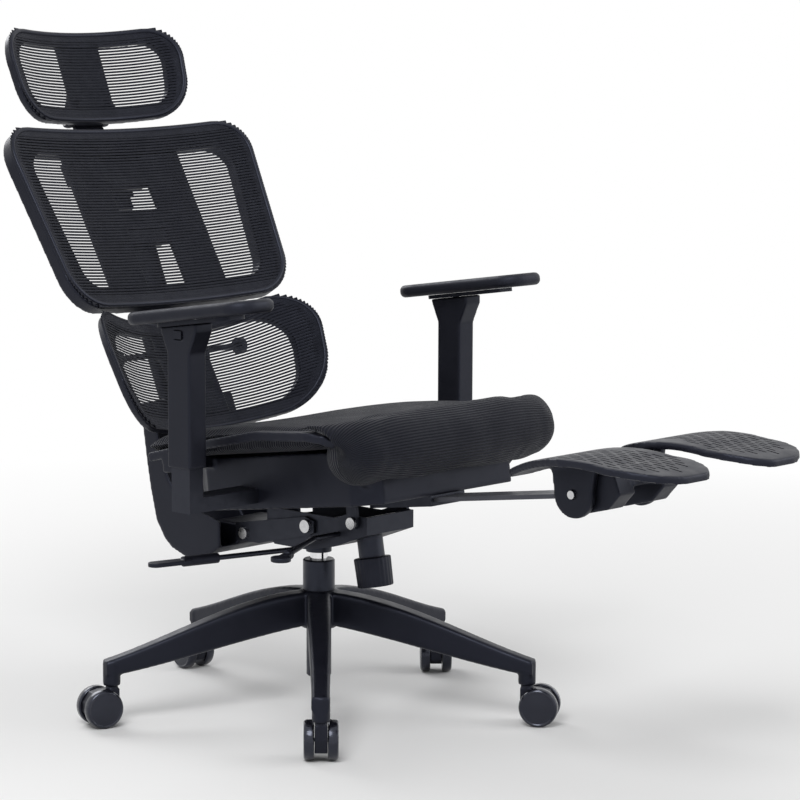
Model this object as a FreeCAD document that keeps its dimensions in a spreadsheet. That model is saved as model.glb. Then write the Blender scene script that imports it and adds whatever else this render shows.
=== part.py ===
import FreeCAD, Part
import math
import os
import re
import Sketcher

# Reclining office chair with a pull-out footrest, shown fully reclined.
# Millimetres. The origin is on the swivel axis at floor level, +Z is up, the sitter faces -Y,
# and +X is the sitter's left. Seat, back and footrest are drawn level or upright in frames
# of their own and then tilted about their real pivots.

V = FreeCAD.Vector
X_AXIS = V(1, 0, 0)
Y_AXIS = V(0, 1, 0)
Z_AXIS = V(0, 0, 1)
CASTERS = 5
SIDES = {"left": 1, "right": -1}

SIZES = {
    # five-star base
    "caster_reach": 335,
    "first_arm_angle": 224.8,
    "hub_radius": 31,
    "hub_bottom": 130,
    "hub_top": 191,
    "arm_root_width": 36,
    "arm_tip_width": 27,
    "arm_root_low": 136,
    "arm_root_high": 189,
    "arm_mid_low": 113,
    "arm_mid_high": 165,
    "arm_tip_low": 76,
    "arm_tip_high": 101,
    "socket_radius": 13.5,
    "socket_low": 62,
    # casters
    "wheel_radius": 30,
    "wheel_width": 15.5,
    "wheel_gap": 20,
    "caster_trail": 20,
    "axle_radius": 3,
    "stem_radius": 5.5,
    "stem_length": 26,
    "web_bottom": 15,
    "neck_radius": 9.4,
    # gas column
    "tube_radius": 25,
    "tube_top": 239,
    "tube_foot_radius": 19.5,
    "tube_seat_radius": 21.5,
    "tube_bottom": 53,
    "tube_floor": 6,
    "rod_radius": 14,
    "rod_top": 300,
    # tilt mechanism
    "mech_half_width": 52,
    "mech_wall": 3,
    "mech_rear": 62,
    "mech_front": -152,
    "mech_low": 263,
    "mech_high": 320,
    "mech_socket_radius": 20,
    "mech_socket_low": 251,
    "main_pivot_back": -29,
    "main_pivot_height": 301,
    "main_pivot_radius": 6,
    "front_pivot_back": -128,
    "front_pivot_height": 318,
    "front_pivot_radius": 5,
    "tension_neck_radius": 20,
    "tension_neck_length": 46,
    "knob_radius": 29,
    "knob_height": 46,
    "knob_lean": 10,
    "lever_radius": 4,
    "height_lever_back": -92,
    "height_lever_height": 296,
    "height_lever_reach": 205,
    "lever_offset": 14,
    "tilt_lever_back": -62,
    "tilt_lever_height": 287,
    "tilt_lever_reach": 200,
    "tilt_lever_low": 265,
    "carrier_plate": 4,
    "carrier_rear": 128,
    "spine_bolt_back": 108,
    "spine_bolt_height": 273,
    "spine_bolt_radius": 5,
    "tilt_paddle_length": 118,
    "tilt_paddle_half_width": 12,
    "tilt_tip_back": 18,
    "tilt_crank": 46,
    "height_tip_forward": 48,
    "height_tip_drop": 3,
    "height_blade_radius": 15,
    "height_blade_neck": 26,
    "height_socket_length": 14,
    "bolt_head": 5,
    "bolt_flange": 4,
    "mech_sweep": 70,
    "mech_toe_rise": 38,
    "mech_heel_rise": 12,
    "mech_belly_front": 26,
    # seat, drawn level about the front pivot
    "seat_tilt": 8,
    "seat_half_width": 250,
    "seat_rear": 268,
    "seat_front": 208,
    "cushion_top": 166,
    "cushion_low": 124,
    "nose_low": 62,
    "tray_floor": 36,
    "tray_wall": 4,
    "tray_half_width": 170,
    "tray_rear": 232,
    "tray_front": 150,
    "tray_rim": 118,
    "arch_thickness": 14,
    "arch_width": 22,
    "arch_top": 156,
    "arch_front": 150,
    "arch_foot": 135,
    "plate_thickness": 3,
    "cushion_crown": 8,
    "cushion_side_fall": 12,
    "cushion_corner_cut": 44,
    "cushion_rear_round": 22,
    "plate_half_width": 80,
    "ear_radius": 10,
    "seat_bolt_radius": 4,
    # arm rests
    "post_centre": 297.5,
    "post_back": -19,
    "post_low": 352,
    "post_foot_thickness": 22,
    "sleeve_flare": 14,
    "button_half_length": 9,
    "button_half_height": 6,
    "button_depth": 5,
    "button_proud": 2,
    "pad_offset": 19,
    "pad_plate_width": 54,
    "pad_plate_length": 150,
    "pad_chamfer": 5,
    "sleeve_width": 35,
    "sleeve_depth": 47,
    "sleeve_low": 419,
    "inner_post_width": 27,
    "inner_post_depth": 39,
    "inner_post_high": 560,
    "pad_height": 641,
    "pad_length": 262,
    "pad_width": 90,
    "pad_thickness": 20,
    "pad_forward": 50,
    "carrier_thickness": 6,
    "pad_screw_radius": 5,
    # footrest, drawn level about the front pivot
    "rail_half_width": 30,
    "rail_thickness": 6.5,
    "rail_height": 26,
    "rail_length": 400,
    "shaft_forward": 452,
    "shaft_up": 36,
    "shaft_radius": 6,
    "cheek_radius": 34,
    "cheek_set_out": 34,
    "yoke_reach": 74,
    "yoke_rise": 27,
    "eye_wall": 5,
    "guide_wall": 8,
    "guide_floor": 6,
    "cheek_thickness": 12,
    "footpad_width": 154,
    "footpad_gap": 34,
    "footpad_thickness": 11,
    "footpad_rear": 52,
    "footpad_front": 234,
    "footpad_high": 60,
    "footpad_low": 24,
    "guide_length": 126,
    # back
    "back_lean": 30,
    "column_lean": 23,
    "spine_half_width": 92,
    "spine_wall": 5,
    "column_half_width": 38,
    "column_half_depth": 9,
    "column_foot_y": 303,
    "column_foot_z": 427,
    "column_length": 356,
    "carrier_half_height": 14,
    "clamp_length": 60,
    "clamp_wall": 6,
    "back_half_width": 268,
    "back_foot_half_width": 236,
    "back_height": 320,
    "back_wing": 30,
    "back_centre_y": 386,
    "back_centre_z": 758,
    "back_corner": 62,
    "mesh_thickness": 3,
    "rim_depth": 24,
    "rim_width": 44,
    "web_thickness": 9,
    "h_column_inner": 43,
    "h_column_outer": 126,
    "crossbar_low": -14,
    "crossbar_high": 16,
    "lumbar_half_width": 245,
    "lumbar_foot_half_width": 218,
    "lumbar_height": 202,
    "lumbar_top_dip": 14,
    "lumbar_wing": 98,
    "lumbar_corner": 82,
    "lumbar_centre_y": 284,
    "lumbar_centre_z": 510,
    "lumbar_rim_width": 40,
    "lumbar_rod_y": 317,
    "lumbar_rod_z": 537,
    "lumbar_rod_radius": 5,
    "lumbar_rod_half_length": 141,
    "lumbar_spar_half_width": 52,
    "lumbar_ear_width": 12,
    "saddle_half_width": 20,
    "saddle_half_height": 7,
    "pin_ear_radius": 10,
    "spar_set_back": 6,
    "frame_edge": 4,
    "disc_radius": 14,
    "disc_thickness": 10,
    "head_half_width": 194,
    "head_height": 158,
    "head_wing": 44,
    "head_corner": 62,
    "head_centre_y": 534,
    "head_centre_z": 980,
    "head_lean": 22,
    "head_rim_width": 30,
    "head_spar_half_width": 46,
    "head_ear_width": 13,
    "post_half_width": 30,
    "post_thickness": 8,
    "post_set_back": 62,
    "head_pin_up": 206,
    "head_pin_radius": 5,
    # clearances
    "running_fit": 0.05,
    "seat_gap": 0.3,
    "cushion_room": 3,
    "side_play": 1,
}

doc = FreeCAD.newDocument("reclining_office_chair")
sheet = doc.addObject("Spreadsheet::Sheet", "Sizes")
for row, (alias, number) in enumerate(SIZES.items(), start=1):
    sheet.set(f"A{row}", alias)
    sheet.set(f"B{row}", str(number))
    sheet.setAlias(f"B{row}", alias)
doc.recompute()


def size(alias):
    """A driving dimension, read from the sheet."""
    return float(sheet.get(alias))


def formula(text):
    """A formula with each size's name pointed at its cell."""
    return re.sub(r"[a-z][a-z0-9_]*", lambda m: f"Sizes.{m[0]}" if m[0] in SIZES else m[0], str(text))


def worth(text):
    """The number that a formula stands for now."""
    return float(sheet.evalExpression(formula(text)))


def origin_plane(body, role):
    """One of a body's own three planes."""
    return next(item for item in body.Origin.OriginFeatures if item.Role == role)


def new_sketch(body, role, shift="0"):
    """An empty sketch on an origin plane, moved along the plane's normal."""
    sketch = body.newObject("Sketcher::SketchObject", "Outline")
    sketch.AttachmentSupport = [(origin_plane(body, role), "")]
    sketch.MapMode = "FlatFace"
    sketch.setExpression("AttachmentOffset.Base.z", formula(shift))
    return sketch


def tie(sketch, kind, element, point, text):
    """Hold one coordinate of a point at a formula's value."""
    index = sketch.addConstraint(Sketcher.Constraint(kind, -1, 1, element, point, worth(text)))
    sketch.setExpression(f"Constraints[{index}]", formula(text))


def draw_loop(sketch, corners):
    """Straight edges round the corners, each corner tied to the sizes."""
    spots = [V(worth(across), worth(along), 0) for across, along in corners]
    first = sketch.GeometryCount
    count = len(spots)
    for index in range(count):
        sketch.addGeometry(Part.LineSegment(spots[index], spots[(index + 1) % count]))
    for index in range(count):
        follower = first + (index + 1) % count
        sketch.addConstraint(Sketcher.Constraint("Coincident", first + index, 2, follower, 1))
    for index, (across, along) in enumerate(corners):
        tie(sketch, "DistanceX", first + index, 1, across)
        tie(sketch, "DistanceY", first + index, 1, along)


def draw_circle(sketch, across, along, radius):
    """A full circle, its centre and radius tied to the sizes."""
    circle = Part.Circle(V(worth(across), worth(along), 0), Z_AXIS, worth(radius))
    element = sketch.addGeometry(circle)
    tie(sketch, "DistanceX", element, 3, across)
    tie(sketch, "DistanceY", element, 3, along)
    index = sketch.addConstraint(Sketcher.Constraint("Radius", element, worth(radius)))
    sketch.setExpression(f"Constraints[{index}]", formula(radius))


def new_body(label):
    """An empty body whose label names its file."""
    body = doc.addObject("PartDesign::Body", label)
    body.Label = label
    return body


def turn(body, corners):
    """A full turn of an outline about the vertical axis."""
    sketch = new_sketch(body, "XZ_Plane")
    draw_loop(sketch, corners)
    turned = body.newObject("PartDesign::Revolution", "Turned")
    turned.Profile = sketch
    turned.ReferenceAxis = (sketch, ["V_Axis"])
    turned.Angle = 360
    return turned


def pad(body, role, corners, length, shift="0", both_ways=True):
    """An outline given a thickness, half each way or all along the plane's normal."""
    sketch = new_sketch(body, role, shift)
    draw_loop(sketch, corners)
    block = body.newObject("PartDesign::Pad", "Block")
    block.Profile = sketch
    block.setExpression("Length", formula(length))
    block.Midplane = both_ways
    return block


def pad_disc(body, role, centre, radius, length, shift="0", both_ways=True):
    """A round boss."""
    sketch = new_sketch(body, role, shift)
    draw_circle(sketch, centre[0], centre[1], radius)
    boss = body.newObject("PartDesign::Pad", "Boss")
    boss.Profile = sketch
    boss.setExpression("Length", formula(length))
    boss.Midplane = both_ways
    return boss


def cut(body, role, corners, length, shift="0"):
    """An outline cut away, half its length each way from the plane."""
    sketch = new_sketch(body, role, shift)
    draw_loop(sketch, corners)
    pocket = body.newObject("PartDesign::Pocket", "Hollow")
    pocket.Profile = sketch
    pocket.setExpression("Length", formula(length))
    pocket.Midplane = True
    return pocket


def drill(body, role, centres, radius, length, shift="0"):
    """Round holes, half their length each way from the plane."""
    sketch = new_sketch(body, role, shift)
    for across, along in centres:
        draw_circle(sketch, across, along, radius)
    holes = body.newObject("PartDesign::Pocket", "Holes")
    holes.Profile = sketch
    holes.setExpression("Length", formula(length))
    holes.Midplane = True
    return holes


def eased(corners, ease):
    """A rectangle given by its low and high corner formulas, with its corners cut off by ease."""
    low_u, low_v, high_u, high_v = corners
    return [
        (f"{low_u} + {ease}", low_v),
        (f"{high_u} - {ease}", low_v),
        (high_u, f"{low_v} + {ease}"),
        (high_u, f"{high_v} - {ease}"),
        (f"{high_u} - {ease}", high_v),
        (f"{low_u} + {ease}", high_v),
        (low_u, f"{high_v} - {ease}"),
        (low_u, f"{low_v} + {ease}"),
    ]


def loft(body, role, stations):
    """A smooth bar through outlines set one after another along the plane's normal."""
    sketches = []
    for shift, corners in stations:
        sketch = new_sketch(body, role, shift)
        draw_loop(sketch, corners)
        sketches.append(sketch)
    bar = body.newObject("PartDesign::AdditiveLoft", "Bar")
    bar.Profile = sketches[0]
    bar.Sections = sketches[1:]
    bar.Ruled = False
    return bar


def place(item, spot=V(0, 0, 0), axis=Z_AXIS, angle=0):
    """Set where a piece stands."""
    item.Placement = FreeCAD.Placement(spot, FreeCAD.Rotation(axis, angle))
    return item


def solid(label, shape, spot=V(0, 0, 0), axis=Z_AXIS, angle=0):
    """A piece of free form, its shape worked out from the sheet."""
    item = doc.addObject("Part::Feature", label)
    item.Label = label
    item.Shape = shape
    item.Placement = FreeCAD.Placement(spot, FreeCAD.Rotation(axis, angle)).multiply(shape.Placement)
    return item


def rounded_prism(half_top, half_low, low, high, corner, depth):
    """A block through the depth, standing on a four-sided outline with round corners."""
    corners = [V(-half_low, 0, low), V(half_low, 0, low), V(half_top, 0, high), V(-half_top, 0, high)]
    edges = []
    count = len(corners)
    for index in range(count):
        here = corners[index]
        before = (corners[index - 1] - here).normalize()
        after = (corners[(index + 1) % count] - here).normalize()
        half_angle = before.getAngle(after) / 2
        run = corner / math.tan(half_angle)
        bisector = (before + after).normalize()
        middle = here + bisector * (corner / math.sin(half_angle) - corner)
        edges.append((here + before * run, middle, here + after * run))
    lines = []
    for index in range(count):
        start, middle, end = edges[index]
        lines.append(Part.Arc(start, middle, end).toShape())
        lines.append(Part.LineSegment(end, edges[(index + 1) % count][0]).toShape())
    face = Part.Face(Part.Wire(lines))
    face.translate(V(0, -depth / 2, 0))
    return face.extrude(V(0, depth, 0))


def dished_sheet(half_width, low, high, wing, front, back, bow=0):
    """A sheet dished towards the sitter at its sides, between two distances behind its face."""
    sections = []
    for part_way in (0, 0.25, 0.5, 0.75, 1):
        up = low + (high - low) * part_way
        lean = bow * (2 * part_way - 1) ** 2
        front_arc = Part.Arc(
            V(-half_width, front - wing - lean, up),
            V(0, front - lean, up),
            V(half_width, front - wing - lean, up),
        )
        back_arc = Part.Arc(
            V(half_width, back - wing - lean, up),
            V(0, back - lean, up),
            V(-half_width, back - wing - lean, up),
        )
        right_end = Part.LineSegment(front_arc.EndPoint, back_arc.StartPoint)
        left_end = Part.LineSegment(back_arc.EndPoint, front_arc.StartPoint)
        sections.append(Part.Wire([item.toShape() for item in (front_arc, right_end, back_arc, left_end)]))
    return Part.makeLoft(sections, True, True)


def along_x(radius, half_length, spot, start=None):
    """A round bar across the chair, about a point of its axis."""
    first = -half_length if start is None else start
    return Part.makeCylinder(radius, half_length - first, V(first, spot.y, spot.z), X_AXIS)


def brick(low, high):
    """A plain block between two corners."""
    return Part.makeBox(high.x - low.x, high.y - low.y, high.z - low.z, low)


def mirrored(shape):
    """The same shape on the chair's other side."""
    return shape.mirror(V(0, 0, 0), X_AXIS)


# Five-star base: one moulding, a hub and five drooping arms that end in caster sockets
def make_base():
    body = new_body("base_star")
    bore = "tube_seat_radius + seat_gap"
    turn(body, [
        (bore, "hub_bottom"), ("hub_radius - 4", "hub_bottom"), ("hub_radius", "hub_bottom + 8"),
        ("hub_radius", "hub_top - 4"), ("hub_radius - 4", "hub_top"), (bore, "hub_top"),
    ])
    arm = loft(body, "YZ_Plane", [
        (reach, eased((f"-{half}", low, half, high), "4"))
        for reach, half, low, high in (
            ("hub_radius - 6", "arm_root_width / 2", "arm_root_low", "arm_root_high"),
            ("caster_reach * 0.45", "arm_root_width * 0.47", "arm_mid_low", "arm_mid_high"),
            ("caster_reach * 0.8", "arm_tip_width * 0.52", "(arm_mid_low + arm_tip_low * 2) / 3",
             "(arm_mid_high + arm_tip_high * 2) / 3 + 3"),
            ("caster_reach + socket_radius * 0.8", "arm_tip_width / 2 - 1", "arm_tip_low", "arm_tip_high"),
        )
    ])
    socket = pad_disc(body, "XY_Plane", ("caster_reach", "0"), "socket_radius",
                      "arm_tip_high - 2 - socket_low", "socket_low", False)
    doc.recompute()
    hole = drill(body, "XY_Plane", [("caster_reach", "0")], "stem_radius + running_fit",
                 "stem_length * 2 + 2", "socket_low")
    ring = body.newObject("PartDesign::PolarPattern", "Ring")
    ring.Originals = [arm, socket, hole]
    ring.Axis = (origin_axis(body, "Z_Axis"), [""])
    ring.Angle = 360
    ring.Occurrences = CASTERS
    body.Tip = ring
    body.setExpression("Placement.Rotation.Angle", formula("first_arm_angle"))
    return body


def origin_axis(body, role):
    """One of a body's own three axes."""
    return next(item for item in body.Origin.OriginFeatures if item.Role == role)


# Casters: a hood with a web between two wheels, a steel stem and axle, and the wheels
CASTER_YAWS = (302.3, 224.3, 81.3, 160.9, 44.3)


def make_caster(number, yaw):
    middle = f"caster_{number}"
    arm_angle = math.radians(size("first_arm_angle") + 360 / CASTERS * number)
    reach = size("caster_reach")
    spot = V(reach * math.cos(arm_angle), reach * math.sin(arm_angle), 0)

    hood = new_body(f"{middle}_hood")
    pad(hood, "XZ_Plane", [
        ("-neck_radius", "wheel_radius * 1.15"),
        ("caster_trail - wheel_radius * 0.75", "web_bottom"),
        ("caster_trail + wheel_radius * 0.5", "web_bottom"),
        ("caster_trail + wheel_radius * 0.84", "wheel_radius * 0.75"),
        ("caster_trail + wheel_radius * 0.84", "wheel_radius * 1.3"),
        ("caster_trail + wheel_radius * 0.5", "wheel_radius * 1.8"),
        ("caster_trail", "wheel_radius * 1.92"),
        ("-neck_radius", "wheel_radius * 1.92"),
    ], "wheel_gap - side_play")
    pad_disc(hood, "XY_Plane", ("0", "0"), "neck_radius", "socket_low - seat_gap - wheel_radius * 1.4",
             "wheel_radius * 1.4", False)
    doc.recompute()
    drill(hood, "XY_Plane", [("0", "0")], "stem_radius", "wheel_radius * 0.8", "socket_low - seat_gap")
    drill(hood, "XZ_Plane", [("caster_trail", "wheel_radius")], "axle_radius", "wheel_gap + side_play")
    place(hood, spot, Z_AXIS, yaw)

    stem_low = size("socket_low") - size("seat_gap") - size("wheel_radius") * 0.4
    stem_high = size("socket_low") + size("stem_length")
    stem = Part.makeCylinder(size("stem_radius"), stem_high - stem_low, V(0, 0, stem_low))
    axle_half = size("wheel_gap") / 2 + size("wheel_width") * 0.7
    axle = Part.makeCylinder(size("axle_radius"), axle_half * 2,
                             V(size("caster_trail"), -axle_half, size("wheel_radius")), Y_AXIS)
    solid(f"{middle}_pins", Part.makeCompound([stem, axle]), spot, Z_AXIS, yaw)

    inner = size("wheel_gap") / 2
    outer = inner + size("wheel_width")
    radius = size("wheel_radius")
    bore = size("axle_radius") + size("running_fit")
    bore_end = inner + size("wheel_width") * 0.7 + size("side_play")
    outline = [
        (bore, inner), (radius * 0.94, inner), (radius, inner + 2), (radius, outer - 5),
        (radius * 0.96, outer - 1.6), (radius * 0.88, outer), (radius * 0.82, outer - 1.2),
        (radius * 0.3, outer - 0.4), (0, outer - 0.2),
        (0, bore_end), (bore, bore_end),
    ]
    points = [V(across, along, 0) for across, along in outline]
    wheel = Part.Face(Part.makePolygon(points + points[:1])).revolve(V(0, 0, 0), Y_AXIS, 360)
    wheel.translate(V(size("caster_trail"), 0, radius))
    pair = Part.makeCompound([wheel, wheel.mirror(V(0, 0, 0), Y_AXIS)])
    solid(f"{middle}_wheels", pair, spot, Z_AXIS, yaw)


# Gas column: a steel tube pressed in the hub, and the chromed rod that lifts and swivels in it
def make_column():
    tube = new_body("gas_tube")
    turn(tube, [
        ("0", "tube_bottom"), ("tube_foot_radius - 2", "tube_bottom"),
        ("tube_foot_radius", "tube_bottom + 2"), ("tube_foot_radius", "hub_bottom"),
        ("tube_seat_radius", "hub_bottom"), ("tube_seat_radius", "hub_top"),
        ("tube_radius", "hub_top"), ("tube_radius", "tube_top - 2"), ("tube_radius - 2", "tube_top"),
        ("rod_radius + running_fit", "tube_top"), ("rod_radius + running_fit", "tube_bottom + tube_floor"),
        ("0", "tube_bottom + tube_floor"),
    ])
    rod = doc.addObject("Part::Cylinder", "gas_piston")
    rod.Label = "gas_piston"
    rod.setExpression("Radius", formula("rod_radius"))
    rod.setExpression("Height", formula("rod_top - tube_bottom - tube_floor - side_play"))
    rod.setExpression("Placement.Base.z", formula("tube_bottom + tube_floor + side_play"))


# Tilt mechanism: a folded steel housing on the gas rod, its two cross shafts and tension tube
def make_mechanism():
    housing = new_body("mech_housing")
    heel = ("mech_front + mech_sweep", "mech_low + mech_heel_rise")
    toe = ("mech_front", "mech_low + mech_toe_rise")
    pad(housing, "YZ_Plane", [
        ("mech_rear", "mech_high"), ("mech_rear", "mech_low + 14"), ("mech_rear - 16", "mech_low"),
        ("-mech_belly_front", "mech_low"), heel, toe, ("mech_front", "mech_high + 8"),
        ("mech_front + 44", "mech_high + 8"), ("mech_front + 66", "mech_high"),
    ], "mech_half_width * 2")
    doc.recompute()
    inside = "(mech_half_width - mech_wall) * 2"
    cut(housing, "YZ_Plane", [
        ("mech_rear + 1", "mech_high + 20"), ("mech_rear + 1", "mech_low + 18"),
        ("mech_rear - 18", "mech_low + mech_wall"), ("-mech_belly_front", "mech_low + mech_wall"),
        (heel[0], f"{heel[1]} + mech_wall"), ("mech_front + mech_wall", f"{toe[1]} + mech_wall + 1"),
        ("mech_front + mech_wall", "mech_high + 20"),
    ], inside)
    pad_disc(housing, "XY_Plane", ("0", "0"), "mech_socket_radius", "rod_top - mech_socket_low",
             "mech_socket_low", False)
    doc.recompute()
    drill(housing, "XY_Plane", [("0", "0")], "rod_radius + running_fit",
          "(rod_top - mech_socket_low + 2) * 2", "mech_socket_low")
    doc.recompute()
    for pivot in ("main_pivot", "front_pivot"):
        drill(housing, "YZ_Plane", [(f"{pivot}_back", f"{pivot}_height")], f"{pivot}_radius",
              "mech_half_width * 3")
    drill(housing, "YZ_Plane", [("height_lever_back", "height_lever_height")], "lever_radius + running_fit",
          "mech_half_width * 2", "-mech_half_width")
    drill(housing, "YZ_Plane", [("tilt_lever_back", "tilt_lever_height")], "lever_radius + running_fit",
          "mech_half_width", "-mech_half_width")

    half = size("mech_half_width")
    main = V(0, size("main_pivot_back"), size("main_pivot_height"))
    carrier_out = half + size("side_play") + size("carrier_plate")
    solid("main_pivot_shaft", headed_bolt("main_pivot_radius", carrier_out + size("seat_gap"), main))

    front = V(0, size("front_pivot_back"), size("front_pivot_height"))
    ear_out = half + size("side_play") + size("plate_thickness") * 2
    solid("front_pivot_rod", headed_bolt("front_pivot_radius", ear_out + size("seat_gap"), front))

    neck = Part.makeCylinder(size("tension_neck_radius"), size("tension_neck_length"))
    stem = Part.makeCylinder(size("tension_neck_radius") * 0.4, size("knob_height") * 0.7)
    stem.translate(V(0, 0, size("knob_height") * -0.7))
    neck = neck.fuse(stem).removeSplitter()
    neck_spot = V(0, size("mech_front") + size("mech_toe_rise"), size("mech_low") - 6)
    neck.Placement = FreeCAD.Placement(neck_spot, FreeCAD.Rotation(X_AXIS, -size("knob_lean")))
    solid("tension_neck", neck.cut(space_over_floor()))
    hollow = size("tension_neck_radius") * 0.4 + size("running_fit")
    knob_low = -size("knob_height")
    ring = [
        (hollow, knob_low + 8), (hollow, -size("seat_gap")), (size("knob_radius") - 3, -size("seat_gap")),
        (size("knob_radius"), -4), (size("knob_radius") - 1, knob_low + 3),
        (size("knob_radius") - 5, knob_low),
        (0, knob_low), (0, knob_low + 8),
    ]
    points = [V(across, 0, along) for across, along in ring]
    knob = Part.Face(Part.makePolygon(points + points[:1])).revolve(V(0, 0, 0), Z_AXIS, 360)
    solid("tension_knob", knob, neck_spot, X_AXIS, -size("knob_lean"))


def headed_bolt(radius_name, grip, spot):
    """A bolt across the chair: its shank, and a head and a nut outside the grip."""
    radius = size(radius_name)
    head = size("bolt_head")
    bolt = along_x(radius, grip + head, spot)
    for start in (grip, -grip - head):
        bolt = bolt.fuse(along_x(radius + size("bolt_flange"), start + head, spot, start))
    return bolt.removeSplitter()


def space_over_floor():
    """The space inside and above the housing's sloping front floor."""
    half = size("mech_half_width")
    front = size("mech_front")
    low = size("mech_low")
    corners = [
        V(-half, front, low + size("mech_toe_rise")),
        V(-half, front + size("mech_sweep"), low + size("mech_heel_rise")),
        V(-half, -size("mech_belly_front"), low), V(-half, 0, low),
        V(-half, 0, low * 2), V(-half, front, low * 2),
    ]
    return Part.Face(Part.makePolygon(corners + corners[:1])).extrude(V(half * 2, 0, 0))


def rod_between(radius, start, end):
    """A round bar from one point to another."""
    return Part.makeCylinder(radius, (end - start).Length, start, end - start)


def bent_rod(radius, spots):
    """A bent wire: straight runs with a ball at each bend."""
    wire = rod_between(radius, spots[0], spots[1])
    for start, end in zip(spots[1:], spots[2:]):
        wire = wire.fuse([rod_between(radius, start, end), Part.makeSphere(radius, start)])
    return wire.removeSplitter()


def side_prism(corners, low_x, high_x):
    """A side-view outline of (back, up) points, given a width across the chair."""
    points = [V(low_x, back, up) for back, up in corners]
    return Part.Face(Part.makePolygon(points + points[:1])).extrude(V(high_x - low_x, 0, 0))


# Levers: bent steel wires through the housing's right wall, each with a moulded paddle
def make_levers():
    inner = -size("mech_half_width") + size("mech_wall") + size("lever_offset")
    outer = -size("mech_half_width") - size("lever_offset")
    radius = size("lever_radius")

    back = size("height_lever_back")
    up = size("height_lever_height")
    reach = -size("height_lever_reach")
    bend = V(outer * 1.6, back, up)
    tip = V(reach, back - size("height_tip_forward"), up - size("height_tip_drop"))
    solid("height_lever_rod", bent_rod(radius, [V(inner, back, up), bend, tip]))
    along = (tip - bend).normalize()
    half_thick = radius * 0.9
    neck = size("height_blade_neck")
    socket = size("height_socket_length")
    half_neck = size("height_blade_radius") / 2
    disc = Part.makeCylinder(size("height_blade_radius"), half_thick * 2, V(0, 0, -half_thick))
    stalk = brick(V(-neck, -half_neck, -half_thick), V(0, half_neck, half_thick))
    sleeve = Part.makeCylinder(half_thick * 2, socket, V(-neck - socket, 0, 0), X_AXIS)
    angle = math.degrees(math.atan2(along.y, along.x))
    spot = tip + along * (neck + socket + size("seat_gap"))
    solid("height_lever_paddle", disc.fuse([stalk, sleeve]).removeSplitter(), spot, Z_AXIS, angle)

    back = size("tilt_lever_back")
    up = size("tilt_lever_height")
    low = size("tilt_lever_low")
    reach = -size("tilt_lever_reach")
    tip = V(reach, size("tilt_tip_back"), low)
    crank = V(outer - radius * 1.5, back + size("tilt_crank"), low)
    spots = [V(inner, back, up), V(outer, back, up), crank, tip]
    solid("tilt_lever_rod", bent_rod(radius, spots))
    along = (tip - crank).normalize()
    half_w = size("tilt_paddle_half_width")
    end = size("tilt_paddle_length") - half_w
    neck_end = size("tilt_paddle_length") * 0.52
    half_thick = radius * 0.8
    blade = brick(V(neck_end * 0.8, -half_w, -half_thick), V(end, half_w, half_thick))
    round_end = Part.makeCylinder(half_w, half_thick * 2, V(end, 0, -half_thick))
    boss = Part.makeCylinder(radius * 2, neck_end, V(0, 0, 0), X_AXIS)
    angle = math.degrees(math.atan2(along.y, along.x))
    paddle = blade.fuse([round_end, boss]).removeSplitter()
    solid("tilt_lever_paddle", paddle, tip + along * size("seat_gap"), Z_AXIS, angle)


def seat_frame():
    """Where the seat's own level frame stands."""
    spot = V(0, size("front_pivot_back"), size("front_pivot_height"))
    return spot, X_AXIS, -size("seat_tilt")


def arch_stations():
    """Outer edge, place and lie of the side arch from its rear, over the hip, to its front foot."""
    rear = size("tray_rear")
    front = -size("arch_front")
    top = size("arch_top")
    wide = size("seat_half_width")
    foot = size("arch_foot")
    leg = (wide + foot * 2) / 3
    return (
        (wide, rear, top * 0.87, 0), (wide, rear * 0.5, top * 0.96, 4), (wide, 0, top * 1.02, 0),
        (wide, front * 0.72, top * 0.985, -8), (wide * 0.97, front * 0.9, top * 0.94, -26),
        (wide * 0.89, front, top * 0.85, -48), (wide * 0.78, front, top * 0.63, -70),
        (leg * 0.96, front * 0.93, top * 0.44, -90), (foot, front * 0.88, size("tray_floor") + 6, -90),
    )


def side_arch(side):
    """One side arch: a flat bar lofted over its stations."""
    width = size("arch_width")
    thick = size("arch_thickness")
    sections = []
    for outer, back, up, slope in arch_stations():
        turn_by = math.radians(slope)
        down = V(0, math.sin(turn_by) * -thick, math.cos(turn_by) * -thick)
        corner = V(side * outer, back, up)
        inner = V(side * (outer - width), back, up)
        loop = [corner, inner, inner + down, corner + down, corner]
        sections.append(Part.makePolygon(loop))
    return Part.makeLoft(sections, True, True)


def tray_prism(half_width, front, rear, low, high):
    """The tray's tub, or its hollow: an eight-sided outline given a height."""
    narrow = half_width * 0.84
    ease = 40
    corners = [
        V(-narrow, front, low), V(narrow, front, low),
        V(half_width, front + ease, low), V(half_width, rear - ease, low),
        V(narrow, rear, low), V(-narrow, rear, low),
        V(-half_width, rear - ease, low), V(-half_width, front + ease, low),
    ]
    return Part.Face(Part.makePolygon(corners + corners[:1])).extrude(V(0, 0, high - low))


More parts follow.
